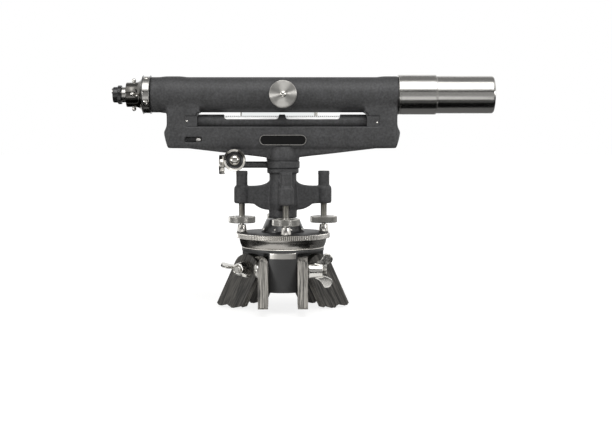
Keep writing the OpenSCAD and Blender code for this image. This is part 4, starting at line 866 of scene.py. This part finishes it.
frame_body = casting_of("frame_casting", "alidade", "frame_one_casting",
                        casting_paint, 0.85, 5)
fillet(frame_body, FILLET_ROUNDS, pillar_share)
worked(frame_body, "DECIMATE", ratio=0.5)
ends = []
for side in (-1, 1):
    bare()
    bpy.ops.mesh.primitive_cube_add(size=0.001)
    end = bpy.context.object
    bpy.ops.transform.resize(value=END_PLATE_SIZE)
    end.location = [c / 1000 for c in (FRAME_DX + side * END_PLATE_AT, END_PLATE_Y, VIAL_Z)]
    settle()
    edit("SELECT")
    bpy.ops.mesh.bevel(offset=END_PLATE_EDGE / 1000, offset_type="OFFSET", segments=2)
    done()
    ends.append(end)
hand_over(joined("vial_end_plates", *ends), casting_paint, "alidade", "lacquer")
pin_head = [(0, -17.45), (0.6, -17.35), (1.0, -17.1), (1.15, -16.9), (1.15, -16.3), (0, -16.3)]
pins = joined("end_plate_screws", turned("pin_left", pin_head, "Y", (-111.7, 0, 148.4), 24),
              turned("pin_right", pin_head, "Y", (109.5, 0, 146.6), 24))
hand_over(pins, screw_metal, "alidade", "nickel")
hub = turned("hub_drum", [
    (16.5, 102.3), (19.25, 102.3), (19.4, 102.5), (19.4, 108.0), (19.2, 111.0), (18.6, 115.0),
    (17.7, 118.6), (16.5, 118.8), (16.5, 102.3)], crease=50)
hand_over(hub, casting_paint, "alidade", "lacquer")

# Name plate. A bare brass plate, filled with black enamel up to a bright line round its edge,
# on the front of the bar.
PLATE_BLACK = "#070707"
LINE_SILVER = "#c4c2bd"
NAME_R = 5.9
NAME_HALF = 21.2
NAME_AT = (0, -17.75, 126.5)
NAME_THICK = 1.2
LINE_WIDE = 0.6
LINE_EDGE = 0.2
ENAMEL_DROP = 0.25
enamel = lacquered("black enamel", PLATE_BLACK, 0.5, 0.5, 0.02, 0.05)
enamel.node_tree.nodes["Principled BSDF"].inputs["Specular IOR Level"].default_value = 0.2
bare()
bpy.ops.mesh.primitive_circle_add(vertices=46, radius=NAME_R / 1000, fill_type="NGON")
plate = bpy.context.object
plate.name = plate.data.name = "name_plate_enamel"
for v in plate.data.vertices:
    v.co.x += math.copysign(NAME_HALF / 1000, v.co.x)
plate.rotation_euler = (math.pi / 2, 0, 0)
plate.location = [c / 1000 for c in NAME_AT]
settle()
edit("SELECT")
bpy.ops.mesh.extrude_region_move(TRANSFORM_OT_translate={"value": (0, -NAME_THICK / 1000, 0)})
bpy.ops.mesh.select_all(action="SELECT")
bpy.ops.mesh.normals_make_consistent(inside=False)
done("DESELECT")
for f in plate.data.polygons:
    f.select = f.normal.y < -0.9
edit(mode="FACE")
bpy.ops.mesh.inset(thickness=LINE_WIDE / 1000, depth=0)
bpy.ops.mesh.inset(thickness=LINE_EDGE / 1000, depth=-ENAMEL_DROP / 1000)
done()
inside = [f.select for f in plate.data.polygons]
plate.data.materials.append(enamel)
plate.data.materials.append(worn_nickel("bright line", LINE_SILVER, 0.3, 3.0))
bpy.ops.object.shade_smooth_by_angle(angle=math.radians(30))
for f, enamelled in zip(plate.data.polygons, inside):
    f.material_index = 1 if f.normal.y < -0.9 and not enamelled else 0
hand_over(plate, None, "alidade", "dark_lacquer", "name_plate")

# Focusing. Rack, pinion and its saddle on the barrel, with a nickelled knob faced on the lathe
# in fine circles, which gives the crossed bright fans. A slotted screw holds the knob.
FOCUS_NICKEL = "#c4c2bd"
PINION_Z = 179.0
CIRCLES_MM = 0.2857
BLADE_SIZE = (0.8, 2.2, 9)
BLADE_DEG = 62
casting_of("pinion_plate", "alidade", "pinion_saddle", casting_paint, 0.4, 4)
recoat(ball_steel, "focus_pinion")
recoat(half_brass, "focus_rack")
knob = turned("knob", [
    (0, -36.35), (14.4, -36.3), (14.55, -36.1), (14.8, -36.1), (14.95, -36.3), (15.2, -36.2),
    (15.6, -35.6), (15.85, -34.6), (15.85, -31.6), (15.5, -31.0), (14.6, -30.75), (6.3, -30.75),
    (5.7, -29.4), (2.1, -29.4), (2.1, -30.5), (0, -30.5)], "Y", (0, 0, PINION_Z), 160)
knob_metal, tree, skin, place = finish("nickel brushed in circles", **{
    "Base Color": linear(FOCUS_NICKEL), "Metallic": 1.0, "Anisotropic": 0.97})
apart = add(tree, "SeparateXYZ", {0: place})
up = add(tree, "Math", {0: apart.outputs["Z"], 1: PINION_Z / 1000}, operation="SUBTRACT")
arm = add(tree, "CombineXYZ", {"X": apart.outputs["X"], "Z": up.outputs[0]})
tangent = add(tree, "VectorMath", {0: arm.outputs[0]}, operation="NORMALIZE")
tree.links.new(tangent.outputs[0], skin.inputs["Tangent"])
radius = add(tree, "VectorMath", {0: arm.outputs[0]}, operation="LENGTH")
rings = add(tree, "TexNoise", {"W": radius.outputs["Value"], "Scale": 1000 / CIRCLES_MM,
                               "Detail": 3.0}, noise_dimensions="1D")
rough = add(tree, "MapRange", {"Value": rings.outputs["Fac"], "From Min": 0.3,
                               "From Max": 0.7, "To Min": 0.34, "To Max": 0.44})
tree.links.new(rough.outputs[0], skin.inputs["Roughness"])
dome = turned("knob_screw_dome", [
    (0, -38.15), (1.3, -38.05), (2.4, -37.75), (3.3, -37.2), (3.7, -36.7), (3.75, -36.2),
    (0, -36.2)], "Y", (0, 0, PINION_Z), 48)
bare()
bpy.ops.mesh.primitive_cube_add(size=0.001, location=(0, -0.038, PINION_Z / 1000))
blade = bpy.context.object
bpy.ops.transform.resize(value=BLADE_SIZE)
blade.rotation_euler = (0, math.radians(BLADE_DEG), 0)
settle()
worked(dome, "BOOLEAN", operation="DIFFERENCE", object=blade)
bpy.data.objects.remove(blade)
hand_over(knob, knob_metal, "pinion", "nickel", "focus_knob")
hand_over(dome, screw_metal, "pinion", "nickel")

# Objective end. The objective head and the sunshade are nickelled brass tubes with fine tool
# marks round them. The slide behind them carries the rack and moves the whole end.
TUBE_NICKEL = "#c2c0bc"
GLASS_CLEAR = "#f6f8f8"
AXIS = (0, 0, AXIS_Z)
tube_metal = turned_metal("nickelled brass tube", TUBE_NICKEL, 0.2, "X", 0.32, 0.003, 0.5, AXIS)
ob_head = turned("objective_head_tube", [
    (18.0, 134.85), (22.9, 134.85), (23.2, 135.1), (23.25, 135.6), (23.2, 136.1), (22.95, 136.35),
    (22.95, 137.0), (23.2, 137.2), (23.22, 177.2), (23.0, 177.5), (23.0, 177.8), (23.25, 178.0),
    (23.25, 178.6), (22.9, 178.98), (20.58, 178.98), (20.58, 192.9), (20.3, 193.0), (19.03, 193.0),
    (19.03, 173.0), (16.3, 172.9), (16.3, 150.0), (18.0, 149.9), (18.0, 134.85)], "X",
    AXIS, 160)
hand_over(ob_head, tube_metal, "objective", "nickel", "objective_head")
shade = turned("sunshade_tube", [
    (20.68, 179.15), (21.6, 179.15), (21.85, 179.4), (21.88, 180.0), (21.88, 243.4),
    (21.8, 244.6), (21.5, 245.6), (21.1, 246.1), (20.8, 246.15), (20.68, 245.9), (20.68, 179.15)],
    "X", AXIS, 160)
hand_over(shade, tube_metal, "sunshade", "nickel", "sunshade")
recoat(tube_metal, "objective_slide")
# Crown glass, ground and polished: clear, with a faint haze where it has been wiped.
clear_glass, tree, skin, place = finish("polished lens glass", **{
    "Base Color": linear(GLASS_CLEAR), "Transmission Weight": 1.0, "IOR": 1.52,
    "Coat Weight": 0.2})
haze = add(tree, "TexNoise", {"Vector": place, "Scale": 40.0, "Detail": 2.0})
faint = add(tree, "MapRange", {"Value": haze.outputs["Fac"], "To Min": 0.0, "To Max": 0.03})
tree.links.new(faint.outputs[0], skin.inputs["Roughness"])
lens = turned("objective_lens_ground", [
    (0, 173.1), (9.5, 173.1), (18.9, 173.1), (18.97, 173.3), (18.97, 178.9), (16, 180.1),
    (12, 181.1), (8, 181.75), (4, 182.05), (0, 182.15)], "X", AXIS)
hand_over(lens, clear_glass, "objective", "glass", "objective_lens")

# Eyepiece end. A turned flange with a bright drum, a bell of darkened nickel with nickelled
# capstan screws that centre the cross hairs, and the eyepiece with its black milled cap and
# dust shutter.
EYE_BLACK = "#1b1b1c"
DRUM_NICKEL = "#b4b2ae"
BELL_NICKEL = "#6f6d69"
DRUM_FROM = -162.95
DRUM_TO = -155.25
CAPSTAN_X = -174.7
PIN_OUT = 17.1
PIN_R = 0.55
eye_black = lacquered("black lacquered brass", EYE_BLACK, 0.24, 0.5, 0.04, 0.1, 0.5)
flange_metal = turned_metal("nickelled drum", DRUM_NICKEL, 0.24, "X", 0.4, 0.003, 0.4, AXIS)
bell_metal = turned_metal("dark nickel bell", BELL_NICKEL, 0.17, "X", 0.4, 0.003, 0.4, AXIS)
flange = turned("eyepiece_flange_ring", [
    (13.5, -164.05), (21.4, -164.05), (22.2, -163.9), (22.6, -163.5), (22.5, -163.1),
    (21.6, -162.9), (21.4, -162.6), (21.4, -155.6), (21.6, -155.3), (22.5, -155.1),
    (22.6, -154.7), (22.2, -154.35), (21.4, -154.25), (17.95, -154.2), (17.95, -150.3),
    (13.5, -150.3), (13.5, -164.05)], "X", AXIS, 128)
flange.data.materials.append(eye_black)
flange.data.materials.append(flange_metal)
for f in flange.data.polygons:
    if DRUM_FROM < f.center.x * 1000 < DRUM_TO:
        f.material_index = 1
hand_over(flange, None, "alidade", "nickel", "eyepiece_flange")
bell = turned("eyepiece_bell", [
    (9.05, -183.25), (13.6, -183.25), (14.2, -183.0), (14.35, -182.5), (14.3, -176.0),
    (14.4, -173.0), (14.8, -170.5), (15.6, -168.4), (17.0, -166.6), (19.0, -165.1), (20.6, -164.3),
    (20.6, -164.1), (12.5, -164.1), (12.5, -177.4), (9.05, -177.5), (9.05, -183.25)], "X", AXIS)
hand_over(bell, bell_metal, "alidade", "dark_lacquer", "eyepiece_mount")
capstan = turned("capstan", [
    (0, 19.15), (0.9, 19.0), (1.7, 18.5), (2.2, 17.8), (2.42, 17.0), (2.42, 15.1), (2.2, 14.6),
    (1.3, 14.55), (1.3, 9.6), (0, 9.6)], "Y", (CAPSTAN_X, 0, AXIS_Z), 32)
bare()
bpy.ops.mesh.primitive_cylinder_add(
    vertices=16, radius=PIN_R / 1000, depth=0.008, rotation=(0, math.pi / 2, 0),
    location=(CAPSTAN_X / 1000, PIN_OUT / 1000, AXIS_Z / 1000))
drill = bpy.context.object
worked(capstan, "BOOLEAN", operation="DIFFERENCE", object=drill)
bpy.data.objects.remove(drill)
small_screw = turned("small_screw", [(0, 1.9), (1.9, 1.7), (2.7, 1.1), (2.8, 0.4), (2.8, -1.0),
                                     (0, -1.0)], "Y", (-159.2, 20.6, AXIS_Z), 32)
eye_screws = joined("eyepiece_screw_set", ring_of("capstans", capstan, 4, 0, "X", AXIS),
                    ring_of("small_screws", small_screw, 4, 27, "X", AXIS))
hand_over(eye_screws, screw_metal, "alidade", "nickel", "eyepiece_screws")
recoat(half_brass, "reticle")
recoat(clear_glass, "eyepiece_lenses")
draw = turned("eyepiece_draw_tube", [
    (5.5, -197.8), (6.45, -197.8), (6.45, -188.45), (7.6, -188.4), (8.7, -188.3), (8.92, -188.0),
    (8.92, -179.6), (8.6, -179.5), (5.5, -179.5), (5.5, -197.8)], "X", AXIS, 64)
hand_over(draw, flange_metal, "eyepiece", "dark_lacquer", "eyepiece_tube")
eye_cap = turned("eye_cap_shell", [
    (3.0, -199.15), (7.6, -199.15), (8.6, -198.9), (9.15, -198.2), (9.2, -197.2), (9.2, -193.7),
    (9.9, -193.4), (9.9, -188.9), (6.6, -188.9), (6.6, -198.0), (3.0, -198.0), (3.0, -199.15)],
    "X", AXIS)
eye_ring = milled("eye_ring", 10.95, 0.35, 52, -193.25, -188.75, 0.5, "X", AXIS)
hand_over(joined("eye_cap_shell", eye_cap, eye_ring), eye_black, "eye_cap", "dark_lacquer",
          "eye_cap")
recoat(screw_metal, "eye_shutter")

# Vial. The level vial lies in a lacquered brass case, bedded in white plaster, which shows white
# in the two windows. The plaster glows faintly, a painted light standing in for light from behind
# the slot. Black marks about 2 mm apart, over the top of the glass, count the bubble's run.
PLASTER_AND_GLOW_TONES = ("#fafaf8", "#ffffff")
LUMP_MM = 1.111
MARK_BLACK = "#1a1a1a"
VIAL_R = 6.95
MARK_STEP = 2.3
MARK_WIDE = 0.65
MARK_DROP = 1.3
WINDOW_ENDS = (5.5, 66.0)
casting_of("vial_case", "alidade", "vial_case_tube", casting_paint, 0.42, 2, 0.5)
# The emission set here is a painted glow; the plaster is no lamp.
plaster, tree, skin, place = finish("glass on white plaster, with black marks and a painted glow", **{
    "Roughness": 0.75, "Coat Weight": 1.0, "Coat Roughness": 0.05, "Emission Strength": 0.35})
lumps = add(tree, "TexNoise", {"Vector": place, "Scale": 1000 / LUMP_MM, "Detail": 3.0})
pale = add(tree, "ValToRGB", {"Fac": lumps.outputs["Fac"]})
for stop, colour in zip(pale.color_ramp.elements, PLASTER_AND_GLOW_TONES):
    stop.color = linear(colour)
apart = add(tree, "SeparateXYZ", {0: place})
steps = add(tree, "Math", {0: apart.outputs["X"], 1: 1000 / MARK_STEP}, operation="MULTIPLY")
saw = add(tree, "Math", {0: steps.outputs[0]}, operation="FRACT")
line = add(tree, "Math", {0: saw.outputs[0], 1: MARK_WIDE / MARK_STEP}, operation="LESS_THAN")
high = add(tree, "Math", {0: apart.outputs["Z"], 1: (VIAL_Z + VIAL_R - MARK_DROP) / 1000},
           operation="GREATER_THAN")
from_mid = add(tree, "Math", {0: apart.outputs["X"], 1: -FRAME_DX / 1000})
out = add(tree, "Math", {0: from_mid.outputs[0]}, operation="ABSOLUTE")
past = add(tree, "Math", {0: out.outputs[0], 1: WINDOW_ENDS[0] / 1000}, operation="GREATER_THAN")
before = add(tree, "Math", {0: out.outputs[0], 1: WINDOW_ENDS[1] / 1000}, operation="LESS_THAN")
ink = line.outputs[0]
for part in (high, past, before):
    ink = add(tree, "Math", {0: ink, 1: part.outputs[0]}, operation="MULTIPLY").outputs[0]
marks_and_glow = add(tree, "Mix", {0: ink, 6: pale.outputs[0], 7: linear(MARK_BLACK)}, data_type="RGBA")
tree.links.new(marks_and_glow.outputs[2], skin.inputs["Base Color"])
# Painted light: the plaster and its marks glow in their own colour, at strength 0.35.
tree.links.new(marks_and_glow.outputs[2], skin.inputs["Emission Color"])
glass = turned("vial_glass_tube", [
    (0, -91.6), (3.0, -91.3), (5.4, -89.9), (6.7, -87.6), (6.95, -85.2), (6.95, 83.2),
    (6.7, 85.6), (5.4, 87.9), (3.0, 89.3), (0, 89.6)], "X", (0, 0, VIAL_Z), 64)
hand_over(glass, plaster, "alidade", "glass", "vial_glass")

# Adjusting nuts. A post with a round nut at each end of the vial, coloured dark as painted shade
# of the recess they sit in, and the bright nut that sits at one end of the slot in the bar.
POST_X = 107.0
POST_Y = -11.0
NUT_AT = (-96.9, -12.9, 126.9)
POST_SHADE_DARK = "#3a3a3c"
NUT_NICKEL = "#e6e4df"
# Painted shade: the posts and their nuts are coloured dark for the shadowed recess.
post_painted_shade = worn_nickel("steel painted dark as shade", POST_SHADE_DARK, 0.3, 2.0)
nut_metal = worn_nickel("satin nickel nut", NUT_NICKEL, 0.34, 2.0)
post = turned("vial_post", [
    (0, 142.1), (1.45, 142.1), (1.45, 145.6), (1.7, 145.8), (2.8, 145.9), (3.25, 146.3),
    (3.35, 146.9), (3.35, 149.1), (3.25, 149.7), (2.8, 150.1), (1.7, 150.2), (1.45, 150.4),
    (1.45, 153.9), (0, 153.9)], at=(FRAME_DX + POST_X, POST_Y, 0), steps=48)
posts = joined("vial_post_set", post, again(post, "vial_post_back", move=(-2 * POST_X, 0, 0)))
hand_over(posts, post_painted_shade, "alidade", "nickel", "adjusting_nuts")
slot_nut = turned("slot_nut", [
    (0, -3.95), (2.3, -3.95), (2.6, -3.7), (2.65, -3.3), (2.65, 0), (2.55, 0.8), (2.2, 1.6),
    (1.6, 2.2), (0.9, 2.55), (0, 2.65)], "X", NUT_AT, 48)
hand_over(slot_nut, nut_metal, "alidade", "nickel")

# Mirror. Silvered plate glass in a thin nickelled frame, for reading the bubble from the eyepiece.
# Its post turns and tips in a universal joint whose fluted nut loads a spring.
JOINT_NICKEL = "#dddad4"
MIRROR_SILVER = "#eef0f0"
SPOT_MM = 8.333
joint_metal = worn_nickel("polished nickel joint", JOINT_NICKEL, 0.24, 3.0)
recoat(joint_metal, "mirror_socket", "mirror_arm", "joint_spring", "joint_nut", "mirror_holder")
# Silver behind glass: a clear picture of what it faces, dulled in small spots of age.
silver, tree, skin, place = finish("silvered plate glass", **{
    "Base Color": linear(MIRROR_SILVER), "Metallic": 1.0, "Coat Weight": 1.0,
    "Coat Roughness": 0.0})
spots = add(tree, "TexNoise", {"Vector": place, "Scale": 1000 / SPOT_MM, "Detail": 4.0})
faint = add(tree, "MapRange", {"Value": spots.outputs["Fac"], "From Min": 0.55,
                               "From Max": 0.8, "To Min": 0.01, "To Max": 0.07})
tree.links.new(faint.outputs[0], skin.inputs["Roughness"])
recoat(silver, "mirror_glass")
